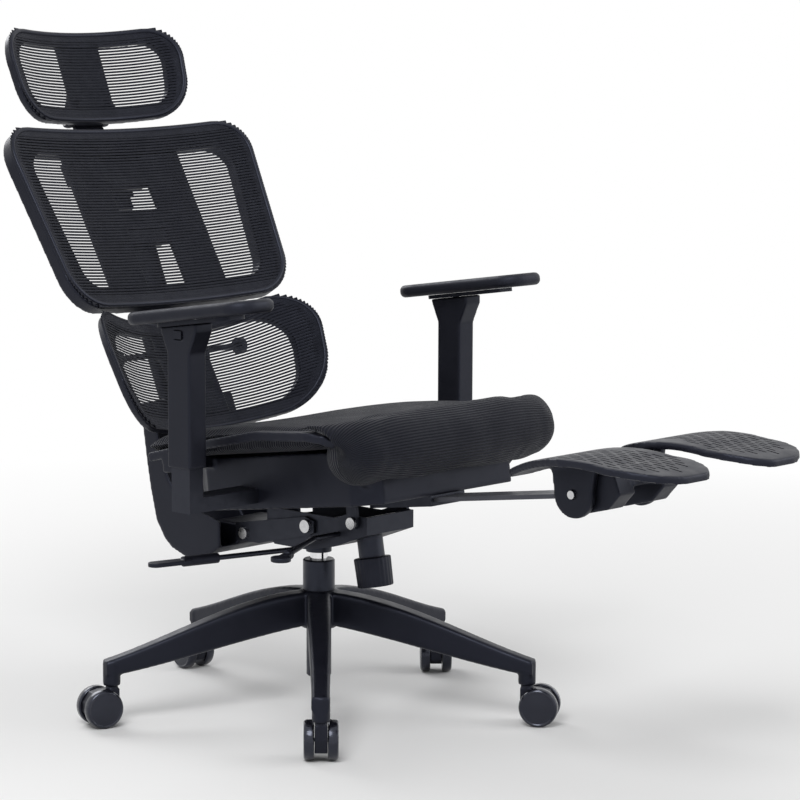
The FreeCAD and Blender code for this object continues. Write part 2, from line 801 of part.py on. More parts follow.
# Seat: a steel plate on the front shaft, a moulded tray with side arches, and the cushion
def make_seat():
    spot, axis, angle = seat_frame()
    half = size("plate_half_width")
    floor = size("tray_floor")
    thick = size("plate_thickness")
    ear_in = size("mech_half_width") + size("side_play")
    ear_out = ear_in + thick * 2
    radius = size("ear_radius")
    plate = brick(V(-half, -radius, floor - thick), V(half, size("tray_rear") - 60, floor))
    for side in SIDES.values():
        low_x, high_x = sorted((side * ear_in, side * ear_out))
        plate = plate.fuse([
            brick(V(low_x, -radius, 0), V(high_x, radius, floor)),
            along_x(radius, high_x, V(0, 0, 0), low_x),
        ])
    bore = size("front_pivot_radius") + size("running_fit")
    plate = plate.cut(along_x(bore, ear_out + 5, V(0, 0, 0)))
    bolt_rows = (30, size("tray_rear") - 80)
    bolt_spots = [V(side * (half - 12), back, 0) for side in SIDES.values() for back in bolt_rows]
    shank_radius = size("seat_bolt_radius")
    bolt_holes = [Part.makeCylinder(shank_radius, floor * 3, bolt_spot) for bolt_spot in bolt_spots]
    solid("seat_plate", plate.cut(bolt_holes).removeSplitter(), spot, axis, angle)

    half = size("tray_half_width")
    rear = size("tray_rear")
    front = -size("tray_front")
    wall = size("tray_wall")
    rim = size("tray_rim")
    pan = tray_prism(half, front, rear, floor, rim).cut(
        tray_prism(half - wall, front + wall, rear - wall, floor + wall, rim + 10))
    pan = pan.cut(bolt_holes)
    wide = size("seat_half_width")
    top = size("arch_top")
    pieces = []
    for side in SIDES.values():
        near, far = sorted((side * (half - wall), side * wide))
        pieces.append(brick(V(near, rear - 62, rim - 14), V(far, rear - 30, size("cushion_low") - 3)))
        near, far = sorted((side * (wide - size("arch_width")), side * wide))
        pieces.append(brick(V(near, rear - 62, rim - 14), V(far, rear - 30, top * 0.84)))
        pieces.append(side_arch(side))
    solid("seat_tray", pan.fuse(pieces).removeSplitter(), spot, axis, angle)

    sections = []
    for across in (-1, -0.9, -0.62, 0, 0.62, 0.9, 1):
        edge = abs(across) ** 6
        rear = size("seat_rear") - size("cushion_rear_round") * edge
        front = -size("seat_front") + size("cushion_corner_cut") * edge
        fall = size("cushion_side_fall") * edge
        crest = size("cushion_top") - fall - size("cushion_crown") * (0.75 - across ** 2)
        low = size("cushion_low") + fall * 0.83
        nose = size("nose_low") + fall
        sections.append(cushion_section(across * wide, rear, front, crest, low, nose))
    cushion = Part.makeLoft(sections, True, False)
    room = size("cushion_room")
    line = [(back, up + room) for outer, back, up, slope in arch_stations()[:6]]
    beyond = size("seat_rear") + 20
    ahead = -size("arch_front") - 60
    line = [(beyond, line[0][1]), *line, (ahead, top * 0.6), (ahead, 0), (beyond, 0)]
    under = side_prism(line, wide - size("arch_width") - room, wide + 20)
    leg_front = -size("arch_front") - room * 2
    leg_top = top * 0.85 + room * 2
    leg = brick(V(wide * 0.74, leg_front, 0), V(wide + 20, leg_front + 60, leg_top))
    bend = [(back, up + room) for outer, back, up, slope in arch_stations()[3:6]]
    behind = bend[0][0] + 8
    bend = [(behind, bend[0][1] + 1), *bend, (ahead, top * 0.6), (ahead, 0), (behind, 0)]
    under = under.fuse([leg, side_prism(bend, wide * 0.89 - size("arch_width") - room, wide + 20)])
    solid("seat_cushion", cushion.cut([under, mirrored(under)]).removeSplitter(), spot, axis, angle)

    bolts = []
    head_thick = size("bolt_flange")
    for bolt_spot in bolt_spots:
        under_plate = bolt_spot + V(0, 0, floor - thick)
        shank = Part.makeCylinder(shank_radius, thick + wall, under_plate)
        head = Part.makeCylinder(shank_radius * 1.75, head_thick, under_plate - V(0, 0, head_thick))
        bolts.append(shank.fuse(head))
    solid("seat_bolts", Part.makeCompound(bolts), spot, axis, angle)


def cushion_section(across, rear, front, top, low, nose):
    """The cushion cut front to back at one place across it: crown, rolled nose and flat foot."""
    crown = Part.Arc(V(across, rear - 4, top - 8), V(across, 60, top), V(across, front + 92, top - 12))
    roll = Part.Arc(crown.EndPoint, V(across, front, (top + nose) / 2 + 12), V(across, front + 32, nose))
    under = Part.LineSegment(roll.EndPoint, V(across, front + 54, low))
    foot = Part.LineSegment(under.EndPoint, V(across, rear - 8, low))
    back = Part.Arc(foot.EndPoint, V(across, rear, (top - 14 + low) / 2), crown.StartPoint)
    return Part.Wire([item.toShape() for item in (crown, roll, under, foot, back)])


# Arm rests: a steel L post, a sleeve that slides on it, a swivelling carrier and a soft pad
def make_arm(name, side):
    centre = side * size("post_centre")
    back = size("post_back")
    half_w = size("inner_post_width") / 2
    half_d = size("inner_post_depth") / 2
    low = size("post_low")
    post_high = size("inner_post_high")
    upright = brick(V(centre - half_w, back - half_d, low), V(centre + half_w, back + half_d, post_high))
    inner = side * (size("tray_half_width") + size("seat_gap"))
    near, far = sorted((inner, centre))
    foot = brick(V(near, back - half_d, low), V(far, back + half_d, low + size("post_foot_thickness")))
    solid(f"arm_post_{name}", upright.fuse(foot).removeSplitter())

    gap = size("seat_gap")
    sleeve_w = size("sleeve_width") / 2
    sleeve_d = size("sleeve_depth") / 2
    slope = math.tan(math.radians(size("seat_tilt")))
    pad_shift = size("pad_offset") - size("pad_forward")
    under = size("pad_height") - size("carrier_thickness") - gap * 2
    top_here = under + pad_shift * slope
    flare = size("sleeve_flare")
    wide_d = sleeve_d + flare
    outline = [
        (back - sleeve_d, size("sleeve_low")), (back + sleeve_d, size("sleeve_low")),
        (back + sleeve_d, under - 46), (back + wide_d, under - 14),
        (back + wide_d, top_here - wide_d * slope), (back - wide_d, top_here + wide_d * slope),
        (back - wide_d, under - 12), (back - sleeve_d, under - 44),
    ]
    sleeve = side_prism(outline, centre - sleeve_w, centre + sleeve_w)
    sleeve = sleeve.cut(brick(V(centre - half_w - gap, back - half_d - gap, 0),
                              V(centre + half_w + gap, back + half_d + gap, post_high + 34)))
    button_z = under - 18
    outer = centre + side * sleeve_w
    long = size("button_half_length")
    high = size("button_half_height")
    deep = size("button_depth")
    near, far = sorted((outer - side * (deep + 4), outer + side))
    sleeve = sleeve.cut(brick(V(near, back - long - gap, button_z - high - gap),
                              V(far, back + long + gap, button_z + high + gap)))
    lean = FreeCAD.Rotation(X_AXIS, -size("seat_tilt"))
    screw_spot = V(centre, back, top_here)
    screw_radius = size("pad_screw_radius")
    screw_deep = 10
    hole = Part.makeCylinder(screw_radius + size("running_fit"), screw_deep * 4, V(0, 0, -screw_deep - 2))
    hole.Placement = FreeCAD.Placement(screw_spot, lean)
    sleeve = sleeve.cut(hole)
    solid(f"arm_sleeve_{name}", sleeve)
    near, far = sorted((outer - side * deep, outer + side * size("button_proud")))
    button = brick(V(near, back - long, button_z - high), V(far, back + long, button_z + high))
    solid(f"height_button_{name}", button)

    wide = size("pad_plate_width")
    plate_l = size("pad_plate_length")
    plate_corner = V(-wide / 2, pad_shift - plate_l / 2, gap)
    plate = Part.makeBox(wide, plate_l, size("carrier_thickness"), plate_corner)
    plate = plate.makeFillet(wide * 0.3, [edge for edge in plate.Edges if abs(edge.tangentAt(0).z) > 0.9])
    screw = Part.makeCylinder(screw_radius, screw_deep + 1, V(0, 0, -screw_deep))
    solid(f"pad_carrier_{name}", plate.fuse(screw).removeSplitter(), screw_spot, X_AXIS, -size("seat_tilt"))

    half_w = size("pad_width") / 2
    half_l = size("pad_length") / 2
    lift = size("carrier_thickness") + gap * 2
    rest = Part.makeBox(half_w * 2, half_l * 2, size("pad_thickness"), V(-half_w, pad_shift - half_l, lift))
    rest = rest.makeFillet(half_w * 0.82, [edge for edge in rest.Edges if abs(edge.tangentAt(0).z) > 0.9])
    rims = [edge for edge in rest.Edges if edge.BoundBox.ZLength < 1e-4]
    rest = rest.makeChamfer(size("pad_chamfer"), rims)
    solid(f"arm_pad_{name}", rest, screw_spot, X_AXIS, -size("seat_tilt"))


# Footrest: a flat steel rail in a guide, and two slatted foot pads that fold about a shaft
def make_footrest():
    spot, axis, angle = seat_frame()
    half = size("rail_half_width")
    low = size("rail_height")
    thick = size("rail_thickness")
    gap = size("seat_gap")
    shaft = V(0, -size("shaft_forward"), size("shaft_up"))
    radius = size("shaft_radius")

    eye = radius + size("eye_wall")
    rail = brick(V(-half, shaft.y, low), V(half, shaft.y + size("rail_length"), low + thick))
    neck = brick(V(-half, shaft.y, low), V(half, shaft.y + eye, shaft.z))
    rail = rail.fuse([neck, along_x(eye, half, shaft)]).cut(along_x(radius, half + 1, shaft))
    solid("footrest_rail", rail.removeSplitter(), spot, axis, angle)

    floor = size("tray_floor")
    front = -size("tray_front") + size("tray_wall")
    wall = size("guide_wall")
    length = size("guide_length")
    guide = brick(V(-half - wall, front, low - size("guide_floor")), V(half + wall, front + length, floor))
    guide = guide.cut(brick(V(-half - gap, front - 1, low - gap),
                            V(half + gap, front + length + 1, low + thick + gap)))
    solid("rail_guide", guide, spot, axis, angle)

    block_in = half + 2
    cheek_in = size("footpad_gap") + size("cheek_set_out")
    cheek_out = cheek_in + size("cheek_thickness")
    solid("footrest_shaft", along_x(radius, cheek_out + 4, shaft), spot, axis, angle)

    bore = along_x(radius + size("running_fit"), cheek_out + 10, shaft)
    round_r = size("cheek_radius") - 4
    reach = shaft.y - size("yoke_reach")
    crest = shaft.z + size("yoke_rise")
    body_line = [
        (shaft.y, shaft.z - round_r), (shaft.y - 50, shaft.z - round_r + 6), (reach, shaft.z - 4),
        (reach + 8, crest), (shaft.y - 6, crest),
    ]
    web_line = [
        (shaft.y - 22, shaft.z + 5), (reach, shaft.z + 5), (reach + 8, crest), (shaft.y - 20, crest),
    ]
    yoke = side_prism(web_line, -block_in - 1, block_in + 1)
    for side in SIDES.values():
        near, far = sorted((side * block_in, side * (cheek_in - gap)))
        yoke = yoke.fuse([side_prism(body_line, near, far), along_x(round_r, far, shaft, near)])
    solid("footrest_yoke", yoke.cut(bore).removeSplitter(), spot, axis, angle)

    for name, side in SIDES.items():
        inner = size("footpad_gap")
        near, far = sorted((side * inner, side * (inner + size("footpad_width"))))
        plate = foot_plate(shaft, near, far).common(foot_outline(shaft, side))
        cheek_near, cheek_far = sorted((side * cheek_in, side * cheek_out))
        disc = size("cheek_radius")
        under_pad = shaft.z + size("footpad_high") - 6
        cheek = side_prism([
            (shaft.y - disc * 0.98, shaft.z), (shaft.y - disc * 1.5, under_pad),
            (shaft.y + disc, under_pad - 8), (shaft.y + disc * 0.98, shaft.z),
        ], cheek_near, cheek_far).fuse(along_x(disc, cheek_far, shaft, cheek_near))
        cheek = cheek.cut(over_plate(shaft, cheek_near - 1, cheek_far + 1))
        solid(f"foot_pad_{name}", plate.fuse(cheek).cut(bore).removeSplitter(), spot, axis, angle)


def plate_line(shaft, drop):
    """The foot pad's bow seen from the side, lowered by a thickness."""
    rear = shaft.y + size("footpad_rear")
    front = shaft.y - size("footpad_front")
    high = shaft.z + size("footpad_high") - drop
    low = shaft.z + size("footpad_low") - drop
    crest = Part.Arc(V(0, rear, high - 16), V(0, shaft.y - 62, high), V(0, shaft.y - 146, high - 14))
    tail = Part.Arc(crest.EndPoint, V(0, shaft.y - 190, low + 13), V(0, front, low))
    return crest, tail


def foot_plate(shaft, low_x, high_x):
    """The bowed slab of one foot pad."""
    crest, tail = plate_line(shaft, 0)
    crest_low, tail_low = plate_line(shaft, size("footpad_thickness"))
    edges = [
        crest.toShape(), tail.toShape(),
        Part.LineSegment(tail.EndPoint, tail_low.EndPoint).toShape(),
        tail_low.toShape(), crest_low.toShape(),
        Part.LineSegment(crest_low.StartPoint, crest.StartPoint).toShape(),
    ]
    face = Part.Face(Part.Wire(Part.__sortEdges__(edges)))
    face.translate(V(low_x, 0, 0))
    return face.extrude(V(high_x - low_x, 0, 0))


def over_plate(shaft, low_x, high_x):
    """All the room over the middle of a foot pad's slab."""
    crest, tail = plate_line(shaft, size("footpad_thickness") / 2)
    top = shaft.z + size("footpad_high") * 3
    edges = [
        crest.toShape(), tail.toShape(),
        Part.LineSegment(tail.EndPoint, V(0, tail.EndPoint.y, top)).toShape(),
        Part.LineSegment(V(0, tail.EndPoint.y, top), V(0, crest.StartPoint.y, top)).toShape(),
        Part.LineSegment(V(0, crest.StartPoint.y, top), crest.StartPoint).toShape(),
    ]
    face = Part.Face(Part.Wire(Part.__sortEdges__(edges)))
    face.translate(V(low_x, 0, 0))
    return face.extrude(V(high_x - low_x, 0, 0))


def foot_outline(shaft, side):
    """The foot pad's outline from above: a narrow heel, a broad sole and round corners."""
    inner = size("footpad_gap")
    outer = inner + size("footpad_width")
    rear = shaft.y + size("footpad_rear")
    front = shaft.y - size("footpad_front")
    middle = (inner + outer) / 2
    toe = size("footpad_width") * 0.26
    spots = [
        V(middle + 34, rear, 0), V(middle + 6, rear, 0), V(middle - 26, rear - 12, 0),
        V(inner + 2, shaft.y - 30, 0), V(inner, shaft.y - 90, 0), V(inner + 6, front + toe, 0),
        V(inner + toe * 0.7, front + 8, 0), V(middle + 10, front, 0),
        V(outer - toe * 0.5, front + toe * 0.6, 0),
        V(outer, front + toe * 1.9, 0), V(outer - 4, shaft.y - 50, 0), V(outer - 24, shaft.y + 22, 0),
    ]
    curve = Part.BSplineCurve()
    curve.interpolate([V(side * point.x, point.y, -100) for point in spots], PeriodicFlag=True)
    return Part.Face(Part.Wire(curve.toShape())).extrude(V(0, 0, 400))


# Back: a steel carrier on the main bolt, the J-shaped spine, and three dished frames with mesh
def make_spine():
    carrier = new_body("back_carrier")
    inner = "mech_half_width + side_play"
    pad(carrier, "YZ_Plane", [
        ("main_pivot_back - 15", "main_pivot_height - 9"),
        ("main_pivot_back - 4", "main_pivot_height - carrier_half_height"),
        ("carrier_rear - 52", "spine_bolt_height - 12"),
        ("carrier_rear", "spine_bolt_height - carrier_half_height"),
        ("carrier_rear", "spine_bolt_height + carrier_half_height"),
        ("main_pivot_back + 4", "main_pivot_height + carrier_half_height"),
        ("main_pivot_back - 15", "main_pivot_height + 9"),
    ], f"({inner} + carrier_plate) * 2")
    doc.recompute()
    cut(carrier, "YZ_Plane", [
        ("main_pivot_back - 40", "mech_low - 20"), ("mech_rear + 4", "mech_low - 20"),
        ("mech_rear + 4", "mech_high + 20"), ("main_pivot_back - 40", "mech_high + 20"),
    ], f"({inner}) * 2")
    cut(carrier, "YZ_Plane", [
        ("mech_rear + 22", "mech_low - 20"), ("carrier_rear + 5", "mech_low - 20"),
        ("carrier_rear + 5", "mech_high + 20"), ("mech_rear + 22", "mech_high + 20"),
    ], f"({inner}) * 2")
    doc.recompute()
    drill(carrier, "YZ_Plane", [("main_pivot_back", "main_pivot_height")],
          "main_pivot_radius + running_fit", "mech_half_width * 3")
    bolt_hole = ("spine_bolt_back", "spine_bolt_height")
    drill(carrier, "YZ_Plane", [bolt_hole], "spine_bolt_radius", "mech_half_width * 3")

    # the J seen from the side, (back, up): its outer line from the front foot round the heel
    # to the column, the inner line back down, and the hollow's line inside them
    nose = "carrier_rear + seat_gap"
    outer_line = [(nose, "252"), ("150", "238"), ("203", "224"), ("241", "237"), ("257", "250"),
                  ("276", "277"), ("290", "330"), ("298", "372"), ("307", "428"), ("316", "462")]
    inner_line = [("290", "468"), ("278", "440"), ("262", "390"), ("248", "350"), ("225", "322"),
                  ("190", "306"), ("150", "298"), (nose, "292")]
    spine = new_body("back_spine")
    pad(spine, "YZ_Plane", outer_line + inner_line, "spine_half_width * 2")
    doc.recompute()
    cut(spine, "YZ_Plane", [
        ("120", "252 + spine_wall"), ("151", "238 + spine_wall"), ("203", "224 + spine_wall"),
        ("241 - spine_wall * 0.7", "237 + spine_wall"),
        ("257 - spine_wall * 0.8", "250 + spine_wall * 0.8"),
        ("276 - spine_wall", "277 + spine_wall * 0.4"),
        ("290 - spine_wall", "330"), ("298 - spine_wall", "372"), ("306 - spine_wall", "426"),
        ("262", "430"), ("230", "390"), ("170", "330"), ("120", "320"),
    ], "(spine_half_width - spine_wall) * 2")
    pad(spine, "YZ_Plane", [
        ("mech_rear + 24", "spine_bolt_height - 10"), ("118", "spine_bolt_height - 10"), ("136", "250"),
        ("180", "231"), ("180", "spine_bolt_height + 12"), ("mech_rear + 24", "spine_bolt_height + 12"),
    ], "(mech_half_width + side_play - seat_gap) * 2")
    pad(spine, "YZ_Plane", [
        (f"column_foot_y {sign} column_half_depth * cos(column_lean)"
         f" + {up} * column_length * sin(column_lean)",
         f"column_foot_z {turned} column_half_depth * sin(column_lean)"
         f" + {up} * column_length * cos(column_lean)")
        for sign, turned, up in (("-", "+", 0), ("+", "-", 0), ("+", "-", 1), ("-", "+", 1))
    ], "column_half_width * 2")
    doc.recompute()
    drill(spine, "YZ_Plane", [bolt_hole], "spine_bolt_radius", "mech_half_width * 3")

    bolt_spot = V(0, size("spine_bolt_back"), size("spine_bolt_height"))
    out = size("mech_half_width") + size("side_play") + size("carrier_plate")
    solid("spine_bolt", headed_bolt("spine_bolt_radius", out, bolt_spot))


def column_block(half_width, half_depth, low, high, ahead=0):
    """A block along the spine's column, its depth measured from the column's middle."""
    block = brick(V(-half_width, -half_depth - ahead, low), V(half_width, half_depth, high))
    spot = V(0, size("column_foot_y"), size("column_foot_z"))
    block.Placement = FreeCAD.Placement(spot, FreeCAD.Rotation(X_AXIS, -size("column_lean")))
    return block


def leaned(shape, middle_y, middle_z, lean):
    """A shape drawn upright about its middle, set leaning in its place."""
    moved = shape.copy()
    lie = FreeCAD.Placement(V(0, middle_y, middle_z), FreeCAD.Rotation(X_AXIS, -lean))
    moved.Placement = lie.multiply(shape.Placement)
    return moved


def rim_and_spar(sheet, outline, hole, depth, spar_half_width):
    """A panel's rim behind its mesh, with a flat spar down its middle, drawn upright."""
    half, low, high, wing = sheet
    face = size("mesh_thickness") + size("seat_gap")
    edge = size("frame_edge")
    ring = dished_sheet(half, low, high, wing, face, face + depth).common(outline.cut(hole))
    spar = dished_sheet(half, low, high, wing, face + size("spar_set_back"), face + depth)
    column = brick(V(-spar_half_width, -200, low + edge), V(spar_half_width, 200, high - edge))
    return ring.fuse(spar.common(column))


def make_upper_back():
    half = size("back_half_width")
    foot = size("back_foot_half_width")
    low = -size("back_height") / 2
    high = size("back_height") / 2
    wing = size("back_wing")
    spot = (size("back_centre_y"), size("back_centre_z"), size("back_lean"))
    sheet_back = size("mesh_thickness")
    corner = size("back_corner")
    outline = rounded_prism(half, foot, low, high, corner, 400)
    mesh = dished_sheet(half, low, high, wing, 0, sheet_back).common(outline)
    solid("upper_back_mesh", leaned(mesh, *spot))

    gap = size("seat_gap")
    face = sheet_back + gap
    rim = size("rim_width")
    hole = rounded_prism(half - rim, foot - rim, low + rim * 0.8, high - rim, corner * 0.6, 400)
    web_back = face + size("rim_depth")
    ring = dished_sheet(half, low, high, wing, face, web_back).common(outline.cut(hole))
    web = dished_sheet(half, low, high, wing, web_back - size("web_thickness"), web_back).common(outline)
    bars = []
    edge = size("frame_edge")
    h_half = size("h_column_outer")
    for side in SIDES.values():
        near, far = sorted((side * size("h_column_inner"), side * h_half))
        bars.append(brick(V(near, -200, low + edge), V(far, 200, high - edge)))
    bars.append(brick(V(-h_half, -200, size("crossbar_low")), V(h_half, 200, size("crossbar_high"))))
    letter = web.common(bars[0].fuse(bars[1:]))
    frame = leaned(ring.fuse(letter), *spot)

    set_back = size("post_set_back")
    half_post = size("post_half_width")
    thick = size("post_thickness")
    boss_low = 62
    boss_high = 116
    boss = brick(V(-half_post - 8, web_back - 6, boss_low), V(half_post + 8, set_back + thick, boss_high))
    boss = boss.cut(brick(V(-half_post - gap, set_back - thick / 2 - gap, 0),
                          V(half_post + gap, set_back + thick / 2 + gap, 200)))
    shelf = brick(V(-h_half, web_back - size("web_thickness"), boss_low + 8),
                  V(h_half, web_back, boss_high - 8))
    boss = leaned(boss.fuse(shelf), *spot)
    length = size("column_length")
    column_w = size("column_half_width")
    column_d = size("column_half_depth")
    wall = size("clamp_wall")
    clamp_top = length - 2
    clamp = column_block(column_w + wall, column_d + wall, clamp_top - size("clamp_length"), clamp_top, 16)
    hollow = column_block(column_w + gap, column_d + gap, -50, length + 90)
    frame = frame.fuse([boss, clamp]).cut(hollow)
    over = 40
    ahead = dished_sheet(half + over, low - over, high + over, wing * 1.35, -60, face)
    frame = frame.cut(leaned(ahead, *spot))
    solid("upper_back_frame", frame.removeSplitter())

    pin_up = size("head_pin_up")
    pin_radius = size("head_pin_radius")
    post = brick(V(-half_post, set_back - thick / 2, 40), V(half_post, set_back + thick / 2, pin_up))
    pin_spot = V(0, set_back, pin_up)
    post = post.fuse(along_x(pin_radius + 4, half_post, pin_spot))
    post = post.cut(along_x(pin_radius, half_post + 1, pin_spot))
    solid("headrest_post", leaned(post.removeSplitter(), *spot))
    solid("headrest_pin", leaned(along_x(pin_radius, half_post + 17, pin_spot), *spot))


def lug(spot, radius, bore, near, far, corners):
    """An ear round a cross pin, carried by a wedge that reaches to its frame."""
    ear = along_x(radius, far, spot, near).fuse(side_prism(corners, near, far))
    return ear.cut(along_x(bore, far + 1, spot, near - 1))


def top_dip(half_width, high, dip):
    """A shallow round scoop out of the middle of a panel's top edge."""
    run = half_width * 0.72
    radius = (run ** 2 + dip ** 2) / (2 * dip)
    return Part.makeCylinder(radius, 600, V(0, -300, high - dip + radius), Y_AXIS)


def make_lumbar():
    half = size("lumbar_half_width")
    low = -size("lumbar_height") / 2
    high = size("lumbar_height") / 2
    wing = size("lumbar_wing")
    spot = (size("lumbar_centre_y"), size("lumbar_centre_z"), size("back_lean"))
    corner = size("lumbar_corner")
    thick = size("mesh_thickness")
    foot = size("lumbar_foot_half_width")
    outline = rounded_prism(half, foot, low, high, corner, 500)
    outline = outline.cut(top_dip(half, high, size("lumbar_top_dip")))
    solid("lumbar_mesh", leaned(dished_sheet(half, low, high, wing, 0, thick).common(outline), *spot))

    gap = size("seat_gap")
    rim = size("lumbar_rim_width")
    hole = rounded_prism(half - rim, foot - rim, low + rim * 0.6, high - rim * 0.8, corner * 0.7, 500)
    spar_half = size("lumbar_spar_half_width")
    depth = size("rim_depth") * 0.6
    frame = leaned(rim_and_spar((half, low, high, wing), outline, hole, depth, spar_half), *spot)
    rod = V(0, size("lumbar_rod_y"), size("lumbar_rod_z"))
    bore = size("lumbar_rod_radius") + size("running_fit")
    ears = []
    for side in SIDES.values():
        near, far = sorted((side * (spar_half - size("lumbar_ear_width")), side * spar_half))
        ears.append(lug(rod, size("pin_ear_radius"), bore, near, far, [
            (rod.y - 4, rod.z - 9), (rod.y + 4, rod.z + 9),
            (rod.y - 14, rod.z + 16), (rod.y - 20, rod.z - 12),
        ]))
    front = leaned(dished_sheet(half, low, high, wing, -60, thick + gap), *spot)
    frame = frame.fuse(ears).cut([front, along_x(bore, size("lumbar_rod_half_length"), rod)])
    solid("lumbar_frame", frame.removeSplitter())

    radius = size("lumbar_rod_radius")
    reach = size("lumbar_rod_half_length")
    bar = along_x(radius, reach, rod)
    disc = size("disc_radius")
    for side in SIDES.values():
        near, far = sorted((side * (reach - size("disc_thickness")), side * reach))
        bar = bar.fuse(along_x(disc, far, rod, near))
    saddle_w = size("saddle_half_width")
    saddle_h = size("saddle_half_height")
    saddle = brick(V(-saddle_w, radius - 1, -saddle_h), V(saddle_w, 40, saddle_h))
    saddle = leaned(saddle, rod.y, rod.z, size("back_lean"))
    saddle = saddle.cut(column_block(60, size("column_half_depth"), -50, 400))
    saddle = max(saddle.Solids, key=lambda piece: -piece.CenterOfMass.y)
    solid("lumbar_rod", bar.fuse(saddle).removeSplitter())


def make_headrest():
    half = size("head_half_width")
    low = -size("head_height") / 2
    high = size("head_height") / 2
    wing = size("head_wing")
    spot = (size("head_centre_y"), size("head_centre_z"), size("head_lean"))
    corner = size("head_corner")
    thick = size("mesh_thickness")
    foot = half * 0.92
    outline = rounded_prism(half, foot, low, high, corner, 400)
    solid("headrest_mesh", leaned(dished_sheet(half, low, high, wing, 0, thick).common(outline), *spot))

    gap = size("seat_gap")
    rim = size("head_rim_width")
    low_hole = low + rim * 0.8
    hole = rounded_prism(half - rim, foot - rim, low_hole, -low_hole, corner * 0.6, 400)
    spar_half = size("head_spar_half_width")
    depth = size("rim_depth") * 0.6
    frame = leaned(rim_and_spar((half, low, high, wing), outline, hole, depth, spar_half), *spot)
    lean = math.radians(size("back_lean"))
    set_back = size("post_set_back")
    pin_up = size("head_pin_up")
    pin = V(0, size("back_centre_y") + set_back * math.cos(lean) + pin_up * math.sin(lean),
            size("back_centre_z") - set_back * math.sin(lean) + pin_up * math.cos(lean))
    bore = size("head_pin_radius") + size("running_fit")
    ears = []
    for side in SIDES.values():
        inner = size("post_half_width") + size("side_play")
        near, far = sorted((side * inner, side * (inner + size("head_ear_width"))))
        ears.append(lug(pin, size("pin_ear_radius"), bore, near, far, [
            (pin.y + 8, pin.z + 6), (pin.y - 2, pin.z + 44),
            (pin.y - 30, pin.z + 24), (pin.y - 8, pin.z - 6),
        ]))
    front = leaned(dished_sheet(half, low, high, wing, -60, thick + gap), *spot)
    solid("headrest_frame", frame.fuse(ears).cut(front).removeSplitter())


make_base()
for caster in range(CASTERS):
    make_caster(caster + 1, CASTER_YAWS[caster])
make_column()
make_mechanism()
make_levers()
make_seat()
for side_name, side_sign in SIDES.items():
    make_arm(side_name, side_sign)
make_footrest()
make_spine()
make_upper_back()
make_lumbar()
make_headrest()
doc.recompute()

for item in doc.Objects:
    if "Invalid" in item.State or "Error" in item.State:
        raise RuntimeError(f"{item.Name} did not build: {item.State}")

pieces = [
    item for item in doc.Objects
    if item.TypeId in ("PartDesign::Body", "Part::Feature", "Part::Cylinder")
]
for piece in pieces:
    if piece.Shape.isNull() or not piece.Shape.isValid() or piece.Shape.Volume <= 0:
        raise RuntimeError(f"{piece.Label} has no sound solid")

os.makedirs("parts", exist_ok=True)
for piece in pieces:
    piece.Shape.exportStep(f"parts/{piece.Label}.step")
    print(piece.Label, len(piece.Shape.Solids), round(piece.Shape.Volume / 1000, 1))
print(len(pieces), "pieces")
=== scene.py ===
import math

import bmesh
import bpy
from mathutils import Matrix, Vector


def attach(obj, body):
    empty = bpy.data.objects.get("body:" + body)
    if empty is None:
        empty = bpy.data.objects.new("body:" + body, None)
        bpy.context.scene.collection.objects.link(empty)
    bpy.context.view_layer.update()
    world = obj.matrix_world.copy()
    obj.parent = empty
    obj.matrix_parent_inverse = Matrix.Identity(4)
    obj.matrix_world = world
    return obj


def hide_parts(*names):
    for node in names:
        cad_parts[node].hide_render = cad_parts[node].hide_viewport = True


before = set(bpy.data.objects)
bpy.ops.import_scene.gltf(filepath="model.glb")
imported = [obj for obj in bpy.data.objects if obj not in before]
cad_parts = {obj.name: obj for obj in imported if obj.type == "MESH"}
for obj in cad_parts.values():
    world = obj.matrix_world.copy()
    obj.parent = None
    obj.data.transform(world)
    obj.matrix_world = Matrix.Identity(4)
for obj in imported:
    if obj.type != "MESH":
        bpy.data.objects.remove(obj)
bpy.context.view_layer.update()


# Camera: a long lens a little over four metres away, level with the chair's head,
# to the front and right of the sitter.
view_from = Vector((-3.062, -2.984, 1.0626))
view_tip = math.radians(82.448)
view_turn = math.radians(-45.739)
bpy.ops.object.camera_add(location=view_from, rotation=(view_tip, 0, view_turn))
camera = bpy.context.object
camera.data.lens = 125.12
camera.data.sensor_width = 36
camera.data.shift_x = 0.1014
camera.data.shift_y = -0.0058
camera.data.clip_end = 60
bpy.context.scene.camera = camera


# Five-star base: one moulding in glass-filled nylon, a hub and five drooping arms.
# Its corners are soft, as they leave the mould, and the skin has a fine even grain.
def choose(piece):
    """Leave this piece alone selected and active."""
    if bpy.context.mode != "OBJECT":
        bpy.ops.object.mode_set(mode="OBJECT")
    bpy.ops.object.select_all(action="DESELECT")
    piece.select_set(True)
    bpy.context.view_layer.objects.active = piece


def work(piece, kind, **settings):
    """Put a modifier on the piece and apply it."""
    choose(piece)
    modifier = piece.modifiers.new(kind.title(), kind)
    for key, value in settings.items():
        setattr(modifier, key, value)
    bpy.ops.object.modifier_apply(modifier=modifier.name)


def taken_from(node, name):
    """A piece that starts as a copy of a node's mesh, with its doubled points merged."""
    doubled = 0.00002
    piece = bpy.data.objects.new(name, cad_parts[node].data.copy())
    bpy.context.scene.collection.objects.link(piece)
    piece.data.materials.clear()
    choose(piece)
    bpy.ops.object.mode_set(mode="EDIT")
    bpy.ops.mesh.select_all(action="SELECT")
    bpy.ops.mesh.remove_doubles(threshold=doubled)
    bpy.ops.object.mode_set(mode="OBJECT")
    return piece


def dress(piece, body, finish):
    """Give a new piece its finish and the body that carries it."""
    piece.data.materials.clear()
    piece.data.materials.append(finish)
    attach(piece, body)


